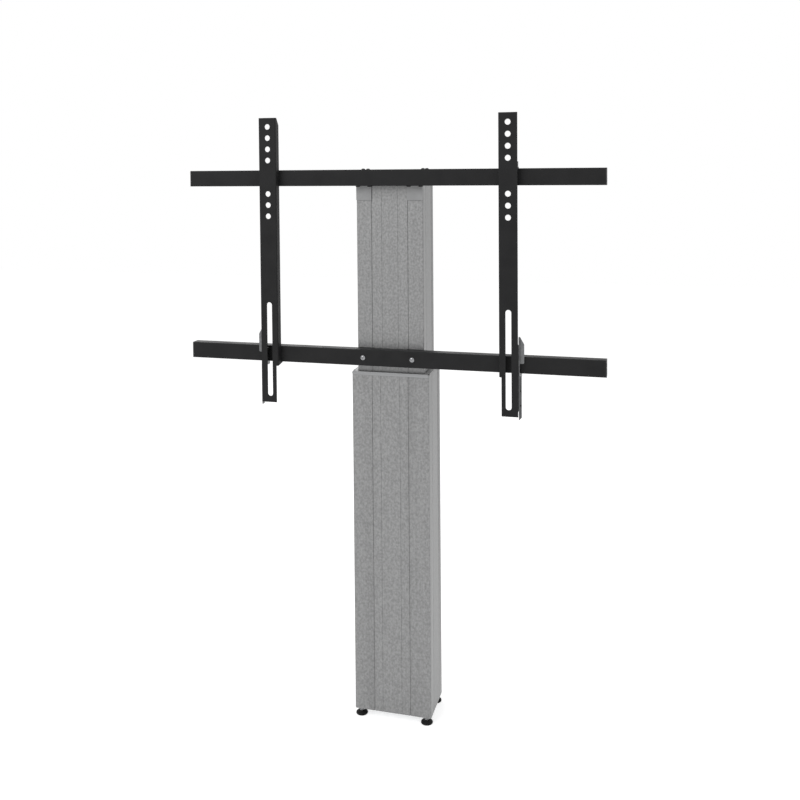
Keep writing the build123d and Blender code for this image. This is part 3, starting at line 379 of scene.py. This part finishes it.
bright_zinc = finish("bright_zinc_screws", (0.28, 0.283, 0.29), 1.0, 0.24)
plating = pattern(bright_zinc, 420, detail=3)
textured(
    bright_zinc,
    blended(bright_zinc, plating, (0.23, 0.233, 0.24), (0.32, 0.322, 0.33)),
    ranged(bright_zinc, plating, 0.14, 0.26),
    plating,
    0.00003,
    0.25,
)
column_back = 0.055
base_screw_x = 0.040
base_screw_z = 0.020
base_screw_places = [aimed((x, column_back, base_screw_z), (0, 1, 0)) for x in (-base_screw_x, base_screw_x)]
base_screws = gathered((button_screw(0.0025, 0.0147), base_screw_places))
settled("base_plate_screws", base_screws, bright_zinc, "stand", "zinc_screw", "base_screws")

# Levelling feet: a moulded rubber-soled pad, ribbed round its rim, turns on the end of an
# M8 stud with a small hexagon above the pad. The stud screws through the base plate and a
# thin nut locks it from below.


def threaded(radius, depth, pitch, low, high, starts=1, steps=24):
    """A right-hand screw thread on the Z axis, cut square at both ends."""
    part = bmesh.new()
    lead = pitch * starts
    outline = []
    for start in range(starts):
        foot = low - lead + pitch * start
        outline += [(radius - depth, foot), (radius, foot + 0.3 * pitch)]
        outline += [(radius, foot + 0.5 * pitch), (radius - depth, foot + 0.8 * pitch)]
    outline.append((radius - depth, low))
    points = [part.verts.new((reach, 0, height)) for reach, height in outline]
    edges = [part.edges.new(pair) for pair in zip(points, points[1:])]
    turns = ceil((high - low) / lead) + 2
    bmesh.ops.spin(
        part,
        geom=points + edges,
        cent=(0, 0, 0),
        axis=(0, 0, 1),
        dvec=(0, 0, lead / steps),
        angle=2 * pi * turns,
        steps=steps * turns,
    )
    bmesh.ops.remove_doubles(part, verts=part.verts, dist=0.000002)
    for height, side in ((low, -1), (high, 1)):
        cut = bmesh.ops.bisect_plane(
            part,
            geom=part.verts[:] + part.edges[:] + part.faces[:],
            dist=0.0000005,
            plane_co=(0, 0, height),
            plane_no=(0, 0, side),
            clear_outer=True,
        )
        rim = [item for item in cut["geom_cut"] if isinstance(item, bmesh.types.BMEdge)]
        bmesh.ops.edgeloop_fill(part, edges=rim)
    bmesh.ops.recalc_face_normals(part, faces=part.faces)
    return part


def hexagon(flat, height, bore=0.0):
    """A hexagon nut, or a bolt's head, that stands on z = 0 with its corners chamfered."""
    outline = [(bore, 0), (0.96 * flat, 0), (1.05 * flat, 0.1 * height)]
    outline += [(1.05 * flat, 0.9 * height), (0.96 * flat, height), (bore, height)]
    if bore:
        outline.append((bore, 0))
    part = turned(outline, 36)
    for vert in part.verts:
        reach = hypot(vert.co.x, vert.co.y)
        if reach > flat:
            wide = hexagon_reach(vert.co, flat)
            vert.co.x *= wide / reach
            vert.co.y *= wide / reach
            drop = 0.55 * (wide - 0.96 * flat)
            vert.co.z = drop if vert.co.z < height / 2 else height - drop
    return part


rubber = finish("foot_rubber", (0.01, 0.01, 0.01), 0.0, 0.62, 0.16)
rubber_dust = pattern(rubber, 160, detail=3)
rubber_skin = pattern(rubber, 1300, detail=2)
textured(
    rubber,
    blended(rubber, rubber_dust, (0.006, 0.006, 0.006), (0.012, 0.012, 0.0117)),
    ranged(rubber, rubber_dust, 0.5, 0.74),
    rubber_skin,
    0.00008,
    0.4,
)
pad_outline = [
    (0.0042, 0.0020),
    (0.0042, 0.0078),
    (0.0045, 0.0080),
    (0.0060, 0.0080),
    (0.0065, 0.0077),
    (0.0070, 0.0070),
    (0.0101, 0.0052),
    (0.0122, 0.0038),
    (0.0132, 0.0029),
    (0.0135, 0.0022),
    (0.0135, 0.0008),
    (0.0131, 0.0002),
    (0.0125, 0.0000),
    (0.0, 0.0000),
]
pad_top = 0.0080
foot_x = 0.076
foot_y = 0.044
ribs = 48
rib_groove = 0.0004
lock_nut_low = 0.012
for foot, x, y in (
    ("front_left", -foot_x, -foot_y),
    ("front_right", foot_x, -foot_y),
    ("back_left", -foot_x, foot_y),
    ("back_right", foot_x, foot_y),
):
    spot = [Matrix.Translation((x, y, 0))]
    pad = turned(pad_outline + [(0.0, 0.0020), (0.0042, 0.0020)], ribs)
    for vert in pad.verts:
        reach = hypot(vert.co.x, vert.co.y)
        if reach > 0.0129 and round(atan2(vert.co.y, vert.co.x) / (2 * pi) * ribs) % 2:
            vert.co.x *= 1 - rib_groove / reach
            vert.co.y *= 1 - rib_groove / reach
    sole = gathered((pad, spot))
    settled("sole_" + foot, sole, rubber, "foot_" + foot, "foot_rubber", "foot_pad_" + foot)
    end = turned([(0, 0.0488), (0.0034, 0.0488), (0.0034, 0.0492), (0.0028, 0.0499), (0, 0.0499)], 24)
    above_pad = [Matrix.Translation((x, y, pad_top))]
    stud = gathered(
        (threaded(0.004, 0.0006, 0.00125, 0.0021, 0.049), spot),
        (hexagon(0.0050, 0.0022), above_pad),
        (end, spot),
    )
    settled("stud_" + foot, stud, bright_zinc, "foot_" + foot, "zinc_screw", "foot_stud_" + foot)
lock_nut_places = [
    Matrix.Translation((x, y, lock_nut_low)) for x in (-foot_x, foot_x) for y in (-foot_y, foot_y)
]
lock_nuts = gathered((hexagon(0.0068, 0.004, 0.00405), lock_nut_places))
settled("foot_locking_nuts", lock_nuts, bright_zinc, "stand", "zinc_screw", "foot_lock_nuts")

# Gearbox: a die-cast tray on the base plate and a cast cover with a raised bearing seat,
# both left as cast, closed by four screws. A bronze bush sits in the tray's floor.
as_cast = finish("as_cast_alloy", (0.34, 0.345, 0.35), 0.8, 0.55)
cast_cloud = pattern(as_cast, 70, detail=4)
cast_skin = pattern(as_cast, 800, detail=3)
textured(
    as_cast,
    blended(as_cast, cast_cloud, (0.28, 0.285, 0.29), (0.4, 0.405, 0.41)),
    ranged(as_cast, cast_cloud, 0.46, 0.66),
    cast_skin,
    0.00015,
    0.5,
)
dressed("gearbox_tray", "gearbox_case", as_cast, "stand", "cast_housing", 0.0008)
dressed("gearbox_lid", "gearbox_cover", as_cast, "stand", "cast_housing", 0.0006)
gearbox_x = 0.010
gearbox_top = 0.054
gearbox_screw_x = 0.039625
gearbox_screw_y = 0.029625
gearbox_screw_places = [
    Matrix.Translation((gearbox_x + x, y, gearbox_top))
    for x in (-gearbox_screw_x, gearbox_screw_x)
    for y in (-gearbox_screw_y, gearbox_screw_y)
]
gearbox_screws = gathered((button_screw(0.002, 0.014), gearbox_screw_places))
settled("gearbox_lid_screws", gearbox_screws, bright_zinc, "stand", "zinc_screw", "gearbox_screws")
bronze = finish("machined_bronze", (0.6, 0.42, 0.2), 1.0, 0.32)
tool_rings = pattern(bronze, 1400, (0.05, 0.05, 1), 2)
tarnish = pattern(bronze, 110, detail=3)
textured(
    bronze,
    blended(bronze, tarnish, (0.5, 0.34, 0.15), (0.68, 0.49, 0.25)),
    ranged(bronze, tarnish, 0.24, 0.42),
    tool_rings,
    0.00004,
    0.4,
)
dressed("bronze_foot_bush", "lower_bush", bronze, "stand", "bronze", 0.0004)

# Ball bearing under the lifting screw's load: two ground steel races and ten balls, pressed
# into the cover's seat. The outer race stands still and the inner race turns with the screw.
ground_steel = finish("ground_steel", (0.6, 0.6, 0.61), 1.0, 0.22)
grinding = pattern(ground_steel, 1100, (0.08, 0.08, 1), 2)
oil_film = pattern(ground_steel, 60, detail=3)
textured(
    ground_steel,
    blended(ground_steel, oil_film, (0.54, 0.545, 0.56), (0.66, 0.66, 0.665)),
    ranged(ground_steel, oil_film, 0.14, 0.32),
    grinding,
    0.00002,
    0.3,
)
for node, body in (("bearing_outer_race", "stand"), ("bearing_inner_race", "lifting_screw")):
    dressed(node + "_ring", node, ground_steel, body, "bright_steel", 0.0003)
balls = node_copy("bearing_balls")
settled("bearing_ball_set", balls, ground_steel, "stand", "bright_steel", "bearing_balls")

# Motor: a drawn steel can with a rolled rim, painted dark grey, closed by a pressed cap with
# a bearing boss. Inside, a laminated armature and its pinion turn on a ground shaft.
motor_paint = finish("motor_paint", (0.11, 0.11, 0.12), 0.0, 0.38)
paint_cloud = pattern(motor_paint, 50, detail=2)
paint_skin = pattern(motor_paint, 700, detail=2)
textured(
    motor_paint,
    blended(motor_paint, paint_cloud, (0.09, 0.09, 0.098), (0.13, 0.13, 0.14)),
    ranged(motor_paint, paint_cloud, 0.3, 0.48),
    paint_skin,
    0.00006,
    0.3,
)
motor_x = 0.040
at_motor = [Matrix.Translation((motor_x, 0, 0))]
can = turned(
    [
        (0.00405, 0.0540),
        (0.0172, 0.0540),
        (0.0178, 0.0544),
        (0.0180, 0.0550),
        (0.0180, 0.0640),
        (0.0177, 0.0645),
        (0.0177, 0.0660),
        (0.0180, 0.0665),
        (0.0180, 0.1440),
        (0.0177, 0.1445),
        (0.0177, 0.1460),
        (0.0180, 0.1465),
        (0.0180, 0.1496),
        (0.0177, 0.1500),
        (0.0160, 0.1500),
        (0.0160, 0.0570),
        (0.00405, 0.0570),
        (0.00405, 0.0540),
    ],
    48,
)
settled("motor_barrel", gathered((can, at_motor)), motor_paint, "stand", "motor_paint", "motor_can")
cap = turned(
    [
        (0.00405, 0.1500),
        (0.0177, 0.1500),
        (0.0180, 0.1503),
        (0.0180, 0.1530),
        (0.0176, 0.1538),
        (0.0162, 0.1544),
        (0.0100, 0.1544),
        (0.0092, 0.1546),
        (0.0086, 0.1556),
        (0.0078, 0.1560),
        (0.0, 0.1560),
        (0.0, 0.1530),
        (0.00405, 0.1530),
        (0.00405, 0.1500),
    ],
    48,
)
settled("motor_end_cap", gathered((cap, at_motor)), motor_paint, "stand", "motor_paint", "motor_cap")
shaft = turned(
    [(0, 0.0320), (0.0036, 0.0320), (0.0040, 0.0324), (0.0040, 0.1523), (0.0036, 0.1527), (0, 0.1527)]
)
spindle = gathered((shaft, at_motor))
settled("motor_spindle", spindle, ground_steel, "motor_rotor", "bright_steel", "motor_shaft")
drum = turned(
    [
        (0.0040, 0.0665),
        (0.0095, 0.0665),
        (0.0118, 0.0675),
        (0.0122, 0.0720),
        (0.0122, 0.0760),
        (0.0142, 0.0762),
        (0.0145, 0.0765),
        (0.0145, 0.1220),
        (0.0142, 0.1223),
        (0.0122, 0.1225),
        (0.0122, 0.1270),
        (0.0115, 0.1285),
        (0.0088, 0.1290),
        (0.0088, 0.1402),
        (0.0084, 0.1405),
        (0.0040, 0.1405),
        (0.0040, 0.0665),
    ],
    48,
)
slot_reach = 0.0129
for vert in drum.verts:
    reach = hypot(vert.co.x, vert.co.y)
    if reach > 0.0141 and round(atan2(vert.co.y, vert.co.x) / (2 * pi) * 48) % 4 == 0:
        vert.co.x *= slot_reach / reach
        vert.co.y *= slot_reach / reach
armature = gathered((drum, at_motor))
settled("motor_armature_drum", armature, ground_steel, "motor_rotor", "bright_steel", "motor_armature")
dressed("driving_pinion", "motor_pinion", ground_steel, "motor_rotor", "bright_steel", 0.0001, 1)

# Lifting screw: a rolled two-start thread on a 14 mm steel bar, plain where its wheel and
# bearing sit. A plastic ring near the free end keeps it central in the push tube.
thread_radius = 0.0070
thread_depth = 0.0014
thread_pitch = 0.0040
thread_low = 0.0665
thread_high = 0.6560
screw_end = turned(
    [(0, 0.6559), (0.0055, 0.6559), (0.0055, 0.6575), (0.0045, 0.6598), (0, 0.6598)],
    24,
)
journal = turned(
    [(0, 0.0243), (0.0066, 0.0243), (0.0070, 0.0247), (0.0070, 0.0660), (0.0058, 0.0667), (0, 0.0667)],
    32,
)
here = [Matrix()]
screw = gathered(
    (threaded(thread_radius, thread_depth, thread_pitch, thread_low, thread_high, 2), here),
    (screw_end, here),
    (journal, here),
)
settled("two_start_screw", screw, ground_steel, "lifting_screw", "bright_steel", "spindle")
dressed("screw_wheel", "spindle_gear", ground_steel, "lifting_screw", "bright_steel", 0.0001, 1)
natural_plastic = finish("natural_glide_plastic", (0.78, 0.78, 0.76), 0.0, 0.42)
natural_plastic.node_tree.nodes["Principled BSDF"].inputs["Subsurface Weight"].default_value = 0.05
plastic_cloud = pattern(natural_plastic, 80, detail=3)
plastic_skin = pattern(natural_plastic, 600, detail=2)
textured(
    natural_plastic,
    blended(natural_plastic, plastic_cloud, (0.72, 0.72, 0.695), (0.83, 0.83, 0.815)),
    ranged(natural_plastic, plastic_cloud, 0.34, 0.52),
    plastic_skin,
    0.00005,
    0.25,
)
dressed("screw_guide_ring", "spindle_guide", natural_plastic, "lifting_screw", "glide_plastic", 0.0006)

# Inner column: a narrower extrusion with the same grooves and finish, with four screw ports
# along its side walls. It rises out of the outer column with the push tube inside it.
dressed("inner_column", "inner_profile", anodised, "carriage", "column", 0.0003, 1)

# Push tube and nut: a ground steel tube hangs from the top bracket, and a flanged bronze nut
# pressed into its lower end runs on the lifting screw.
dressed("steel_push_tube", "push_tube", ground_steel, "carriage", "bright_steel", 0.0003, 1)
dressed("bronze_lift_nut", "lead_nut", bronze, "carriage", "bronze", 0.0005)

# Glides: moulded plastic pads, clipped round the outer column's mouth and round the inner
# column's foot, that keep the two extrusions apart and let them slide quietly.
for node, body in (("outer_glides", "stand"), ("inner_glides", "carriage")):
    dressed(node + "_pads", node, natural_plastic, body, "glide_plastic", 0.0007, 3)

# Top bracket: a 4 mm plate on the inner column's end with two tongues folded down its
# front, painted satin grey. Four blackened screws hold it to the column's screw ports.
bracket_grey = finish("bracket_grey_paint", (0.31, 0.312, 0.316), 0.2, 0.42)
bracket_cloud = pattern(bracket_grey, 45, detail=2)
bracket_skin = pattern(bracket_grey, 900, detail=2)
textured(
    bracket_grey,
    blended(bracket_grey, bracket_cloud, (0.3, 0.302, 0.305), (0.35, 0.352, 0.356)),
    ranged(bracket_grey, bracket_cloud, 0.36, 0.5),
    bracket_skin,
    0.00006,
    0.35,
)
dressed("folded_top_bracket", "top_bracket", bracket_grey, "carriage", "bracket_grey", 0.0006)
blackened = finish("blackened_screws", (0.022, 0.022, 0.023), 0.3, 0.34, 0.25)
oxide = pattern(blackened, 350, detail=3)
textured(
    blackened,
    blended(blackened, oxide, (0.014, 0.014, 0.015), (0.032, 0.031, 0.032)),
    ranged(blackened, oxide, 0.26, 0.44),
    oxide,
    0.00003,
    0.3,
)
bracket_top = 1.239
top_screw_x = 0.0695
top_screw_y = 0.0185
top_screw_places = [
    Matrix.Translation((x, y, bracket_top))
    for x in (-top_screw_x, top_screw_x)
    for y in (-top_screw_y, top_screw_y)
]
top_screws = gathered((button_screw(0.00223, 0.020), top_screw_places))
settled("bracket_cap_screws", top_screws, blackened, "carriage", "black_screw", "top_screws")

# Crossbars: two lengths of 36 by 25 mm rectangular steel tube, powder coated satin black.
# The upper one is welded to the bracket's tongues, with a short bead at each corner.
powder_black = finish("satin_black_powder_coat", (0.016, 0.016, 0.0165), 0.0, 0.52, 0.16)
coat_cloud = pattern(powder_black, 30, detail=2)
orange_peel = pattern(powder_black, 1000, detail=2)
textured(
    powder_black,
    blended(powder_black, coat_cloud, (0.013, 0.013, 0.0135), (0.019, 0.019, 0.0195)),
    ranged(powder_black, coat_cloud, 0.46, 0.58),
    orange_peel,
    0.00008,
    0.4,
)
for node in ("upper_bar", "lower_bar"):
    dressed(node + "_tube", node, powder_black, "carriage", "black_steel", 0.0004, 1)
bead = turned(
    [
        (0, -0.0022),
        (0.0011, -0.0018),
        (0.0018, -0.0009),
        (0.0021, 0),
        (0.0018, 0.0009),
        (0.0011, 0.0018),
        (0, 0.0022),
    ],
    10,
)
tongue_x = 0.0585
tongue_front = -0.0515
weld_height = 1.2022
weld_offset = 0.0135
ripple = 0.0015
bead_places = [
    aimed((side * tongue_x + end * weld_offset + step * ripple, tongue_front, weld_height), (1, 0, 0.35))
    for side in (-1, 1)
    for end in (-1, 1)
    for step in range(-2, 3)
]
settled("bar_weld_beads", gathered((bead, bead_places)), powder_black, "carriage", "black_steel")

# Bar ends, spacers and fixings: pressed-in plastic caps close the tubes. The lower bar
# stands off the column on two steel pads, held by bright button-head screws and nuts.
black_plastic = finish("black_moulded_plastic", (0.024, 0.024, 0.025), 0.0, 0.5, 0.45)
moulding_cloud = pattern(black_plastic, 60, detail=2)
spark_texture = pattern(black_plastic, 1600, detail=2)
textured(
    black_plastic,
    blended(black_plastic, moulding_cloud, (0.02, 0.02, 0.021), (0.032, 0.032, 0.033)),
    ranged(black_plastic, moulding_cloud, 0.44, 0.58),
    spark_texture,
    0.0001,
    0.45,
)
dressed("tube_end_caps", "bar_end_caps", black_plastic, "carriage", "black_plastic", 0.0008)
dressed("bar_spacer_pads", "bar_spacers", powder_black, "carriage", "black_steel", 0.0004)
lower_bar_z = 0.823
bar_front = -0.0765
spacer_back = -0.0455
bar_screw_x = 0.056
bar_screw_places = [aimed((x, bar_front, lower_bar_z), (0, -1, 0)) for x in (-bar_screw_x, bar_screw_x)]
bar_screws = gathered((button_screw(0.00315, 0.036), bar_screw_places))
settled("lower_bar_button_screws", bar_screws, bright_zinc, "carriage", "zinc_screw", "lower_bar_screws")
bar_nut_places = [aimed((x, spacer_back, lower_bar_z), (0, 1, 0)) for x in (-bar_screw_x, bar_screw_x)]
bar_nuts = gathered((hexagon(0.005355, 0.005, 0.00317), bar_nut_places))
settled("lower_bar_hex_nuts", bar_nuts, bright_zinc, "carriage", "zinc_screw", "lower_bar_nuts")

# Screen arms: 2.5 mm steel, punched and folded into an angle with a soft bend along its
# outer corner, then powder coated black. A welded strip on the back hooks over the upper bar.
bend_radius = 0.0024
arm_front_y = -0.0948
arm_inner_x = 0.250
near = 0.00002


def folded(bm, is_bend):
    """Rounds the long outer corner of a fold, where the sheet was bent."""
    corner = [edge for edge in bm.edges if all(is_bend(vert.co) for vert in edge.verts)]
    bmesh.ops.bevel(
        bm,
        geom=corner,
        offset=bend_radius,
        offset_type="OFFSET",
        affect="EDGES",
        segments=5,
        profile=0.5,
        material=-1,
        clamp_overlap=True,
    )
    return bm


for side, sign in (("left", -1), ("right", 1)):

    def is_arm_bend(spot, sign=sign):
        return abs(spot.x - sign * arm_inner_x) < near and abs(spot.y - arm_front_y) < near

    strip = folded(node_copy(side + "_arm"), is_arm_bend)
    arm = settled(side + "_folded_arm", strip, powder_black, side + "_arm", "black_steel", side + "_arm")
    eased(arm, 0.0004)
    dressed(side + "_bent_hook", side + "_hook", powder_black, side + "_arm", "black_steel", 0.0009, 3)

# Latches: a zinc-plated plate slides on two pins in each arm's ear. Its thumb fin stands
# out beside the lower bar and its nose closes behind the bar. Pulling the strip frees it.
# Two blackened rivets sit in the strip's holes where it is gripped; their near-black colour also stands in
# for the shade inside the holes, as painted shade.
latch_zinc = finish("latch_zinc_plate", (0.15, 0.152, 0.155), 0.85, 0.38)
latch_spangle = pattern(latch_zinc, 180, detail=3)
brush_marks = pattern(latch_zinc, 700, (1, 1, 0.05), 2)
textured(
    latch_zinc,
    blended(latch_zinc, latch_spangle, (0.135, 0.137, 0.14), (0.205, 0.207, 0.211)),
    ranged(latch_zinc, latch_spangle, 0.3, 0.46),
    brush_marks,
    0.00004,
    0.35,
)
strip_x = 0.29425
strip_front = -0.0818
for side in ("left", "right"):
    dressed(side + "_latch_plate", side + "_latch", latch_zinc, side + "_latch", "latch_zinc", 0.0004)
# Painted shade: the rivets' dark heads fill the strip's holes so that they read as dark, shaded holes.
for side, sign in (("left", -1), ("right", 1)):
    rivet = turned(
        [(0, 0), (0.0016, 0), (0.0017, 0.0004), (0.0015, 0.0008), (0.0009, 0.0010), (0, 0.0010)],
        20,
    )
    rivet_places = [aimed((sign * strip_x, strip_front, z), (0, -1, 0)) for z in (0.738, 0.769)]
    rivets = gathered((rivet, rivet_places))
    settled(side + "_strip_rivets", rivets, blackened, side + "_latch", "black_screw")

# Latch springs: seven turns of 0.8 mm steel wire push each latch back up. A folded black
# housing, welded inside the arm's ear, holds the spring round the upper pin.


def coiled(radius, wire, turns, low, high, steps=20):
    """A coil of round wire round the Z axis, its ends cut square."""
    part = bmesh.new()
    section = bmesh.ops.create_circle(part, cap_ends=False, segments=8, radius=wire / 2)["verts"]
    upright = Matrix.Translation((radius - wire / 2, 0, low + wire / 2)) @ Matrix.Rotation(pi / 2, 4, "X")
    bmesh.ops.transform(part, matrix=upright, verts=section)
    rise = (high - low - wire) / (turns * steps)
    bmesh.ops.spin(
        part,
        geom=part.verts[:] + part.edges[:],
        cent=(0, 0, 0),
        axis=(0, 0, 1),
        dvec=(0, 0, rise),
        angle=2 * pi * turns,
        steps=turns * steps,
    )
    bmesh.ops.holes_fill(part, edges=[edge for edge in part.edges if edge.is_boundary], sides=0)
    bmesh.ops.recalc_face_normals(part, faces=part.faces)
    return part


spring_x = 0.2835
spring_y = -0.0858
spring_low = 0.8148
spring_high = 0.8305
for side, sign in (("left", -1), ("right", 1)):
    housing = side + "_spring_housing"
    dressed(side + "_spring_case", housing, powder_black, side + "_arm", "black_steel", 0.0003)
    round_pin = [Matrix.Translation((sign * spring_x, spring_y, 0))]
    coil = gathered((coiled(0.003, 0.0008, 7, spring_low, spring_high), round_pin))
    spring_node = side + "_latch_spring"
    spring = settled(side + "_return_spring", coil, ground_steel, side + "_arm", "bright_steel", spring_node)
    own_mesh(spring)

# Wall fixing: a folded, zinc-plated bracket on the column's back at two heights, and a wall
# plate whose ears close round it. Hexagon bolts join the ears, button screws hold the bracket.
bracket_edge = 0.060
plate_edge = 0.0632
plate_front = 0.0918
bracket_heights = (0.140, 0.640)


def is_bracket_bend(spot):
    return abs(abs(spot.x) - bracket_edge) < near and abs(spot.y - column_back) < near


def is_plate_bend(spot):
    return abs(abs(spot.x) - plate_edge) < near and abs(spot.y - plate_front) < near


brackets = folded(node_copy("column_brackets"), is_bracket_bend)
column_side = settled("column_side_brackets", brackets, zinc_plated, "stand", "zinc_plate", "column_brackets")
eased(column_side, 0.0005)
plates = folded(node_copy("wall_plates"), is_plate_bend)
wall_side = settled("wall_side_plates", plates, zinc_plated, "stand", "zinc_plate", "wall_plates")
eased(wall_side, 0.0005)
bracket_back = 0.058
bracket_screw_x = 0.040
bracket_screw_places = [
    aimed((x, bracket_back, z), (0, 1, 0))
    for x in (-bracket_screw_x, bracket_screw_x)
    for z in bracket_heights
]
bracket_screws = gathered((button_screw(0.003, 0.006), bracket_screw_places))
settled("bracket_button_screws", bracket_screws, bright_zinc, "stand", "zinc_screw", "bracket_screws")
bolt_y = 0.077
bracket_ear_inside = 0.057
bolt_sides = [(side, z) for side in (-1, 1) for z in bracket_heights]
bolt_head_places = [aimed((side * plate_edge, bolt_y, z), (side, 0, 0)) for side, z in bolt_sides]
bolt_nut_places = [aimed((side * bracket_ear_inside, bolt_y, z), (-side, 0, 0)) for side, z in bolt_sides]
bolt_shank = turned([(0, -0.0127), (0.0034, -0.0127), (0.0040, -0.0121), (0.0040, 0.0002), (0, 0.0002)], 24)
bolts = gathered(
    (hexagon(0.0068, 0.0052), bolt_head_places),
    (bolt_shank, bolt_head_places),
    (hexagon(0.0068, 0.0065, 0.00395), bolt_nut_places),
)
settled("ear_hex_bolts", bolts, bright_zinc, "stand", "zinc_screw", "bracket_bolts")

# Control box: a moulded black case on the column's back with a vented cover, a green
# circuit board on four posts, and a three-pin mains inlet in its underside.
dressed("control_box_case", "control_case", black_plastic, "stand", "black_plastic", 0.0010, 3)
dressed("control_box_cover", "control_cover", black_plastic, "stand", "black_plastic", 0.0007)
board_green = finish("board_lacquer", (0.02, 0.14, 0.06), 0.0, 0.3)
tracks = pattern(board_green, 240, (1, 1, 0.12), 1)
textured(
    board_green,
    blended(board_green, tracks, (0.012, 0.1, 0.04), (0.03, 0.19, 0.085), 0.46, 0.54),
    ranged(board_green, tracks, 0.24, 0.36),
    tracks,
    0.00005,
    0.4,
)
dressed("green_circuit_board", "circuit_board", board_green, "stand", "board", 0.0002, 1)


def block(width, depth, height, edge=0.0006):
    """A box centred on the Z axis that stands on z = 0, with its edges rounded."""
    part = bmesh.new()
    size = Matrix.Translation((0, 0, height / 2)) @ Matrix.Diagonal((width, depth, height, 1))
    bmesh.ops.create_cube(part, size=1, matrix=size)
    bmesh.ops.bevel(
        part,
        geom=part.edges[:],
        offset=edge,
        offset_type="OFFSET",
        affect="EDGES",
        segments=2,
        profile=0.5,
        material=-1,
        clamp_overlap=True,
    )
    return part


def on_board(x, z):
    """A place on the board's rear face, pointing to the cover."""
    return aimed((x, board_back, z), (0, 1, 0))


board_back = 0.0661
at_transformer = [on_board(-0.024, 0.443)]
core = gathered((block(0.044, 0.036, 0.020, 0.001), at_transformer))
settled("board_transformer_core", core, zinc_plated, "stand", "zinc_plate")
copper_tape = finish("transformer_tape", (0.55, 0.36, 0.1), 0.0, 0.4)
tape_wraps = pattern(copper_tape, 420, (1, 1, 0.1), 2)
textured(
    copper_tape,
    blended(copper_tape, tape_wraps, (0.42, 0.26, 0.06), (0.62, 0.42, 0.13)),
    ranged(copper_tape, tape_wraps, 0.3, 0.46),
    tape_wraps,
    0.0001,
    0.5,
)
winding = gathered((block(0.030, 0.0365, 0.0215, 0.003), at_transformer))
settled("board_transformer_winding", winding, copper_tape, "stand", "bronze")
relay_places = [on_board(0.020, 0.452), on_board(0.020, 0.430)]
socket_places = [on_board(x, 0.336) for x in (-0.034, -0.012)]
chip_places = [on_board(0.018, 0.392), on_board(-0.010, 0.372)]
parts_black = gathered(
    (block(0.020, 0.0155, 0.015, 0.0008), relay_places),
    (block(0.016, 0.012, 0.014, 0.0005), socket_places),
    (block(0.010, 0.024, 0.0030, 0.0003), chip_places),
)
settled("board_relays_and_chips", parts_black, black_plastic, "stand", "black_plastic")
capacitor = turned(
    [
        (0, 0),
        (0.0060, 0),
        (0.0063, 0.0004),
        (0.0063, 0.0020),
        (0.0059, 0.0025),
        (0.0063, 0.0030),
        (0.0063, 0.0175),
        (0.0058, 0.0181),
        (0.0050, 0.0179),
        (0, 0.0179),
    ],
    28,
)
capacitor_places = [on_board(-0.036, 0.404), on_board(-0.020, 0.404), on_board(-0.036, 0.386)]
settled("board_capacitors", gathered((capacitor, capacitor_places)), motor_paint, "stand", "motor_paint")
fin_places = [on_board(0.036, 0.372 + 0.004 * step) for step in range(6)]
sink = gathered(
    (block(0.020, 0.0014, 0.018, 0.0003), fin_places),
    (block(0.022, 0.024, 0.003, 0.0003), [on_board(0.036, 0.382)]),
)
settled("board_heat_sink", sink, anodised, "stand", "column")


def inlet_pin(face):
    """Whether a face of the inlet belongs to one of its three pins."""
    centre = face.calc_center_median()
    return abs(centre.x) < 0.0085 and 0.3065 < centre.z < 0.3175 and abs(centre.y - 0.072) < 0.0025


inlet = node_copy("power_inlet")
for face in inlet.faces:
    if inlet_pin(face):
        face.material_index = 1
socket = settled("mains_inlet", inlet, black_plastic, "stand", "black_plastic", "power_inlet")
socket.data.materials.append(bright_zinc)
eased(socket, 0.0004)
cover_back = 0.0915
cover_z = 0.390
cover_screw_x = 0.053
cover_screw_z = 0.083
cover_screw_places = [
    aimed((x, cover_back, cover_z + z), (0, 1, 0))
    for x in (-cover_screw_x, cover_screw_x)
    for z in (-cover_screw_z, cover_screw_z)
]
cover_screws = gathered((button_screw(0.0016, 0.004), cover_screw_places))
settled("cover_screws", cover_screws, blackened, "stand", "black_screw")
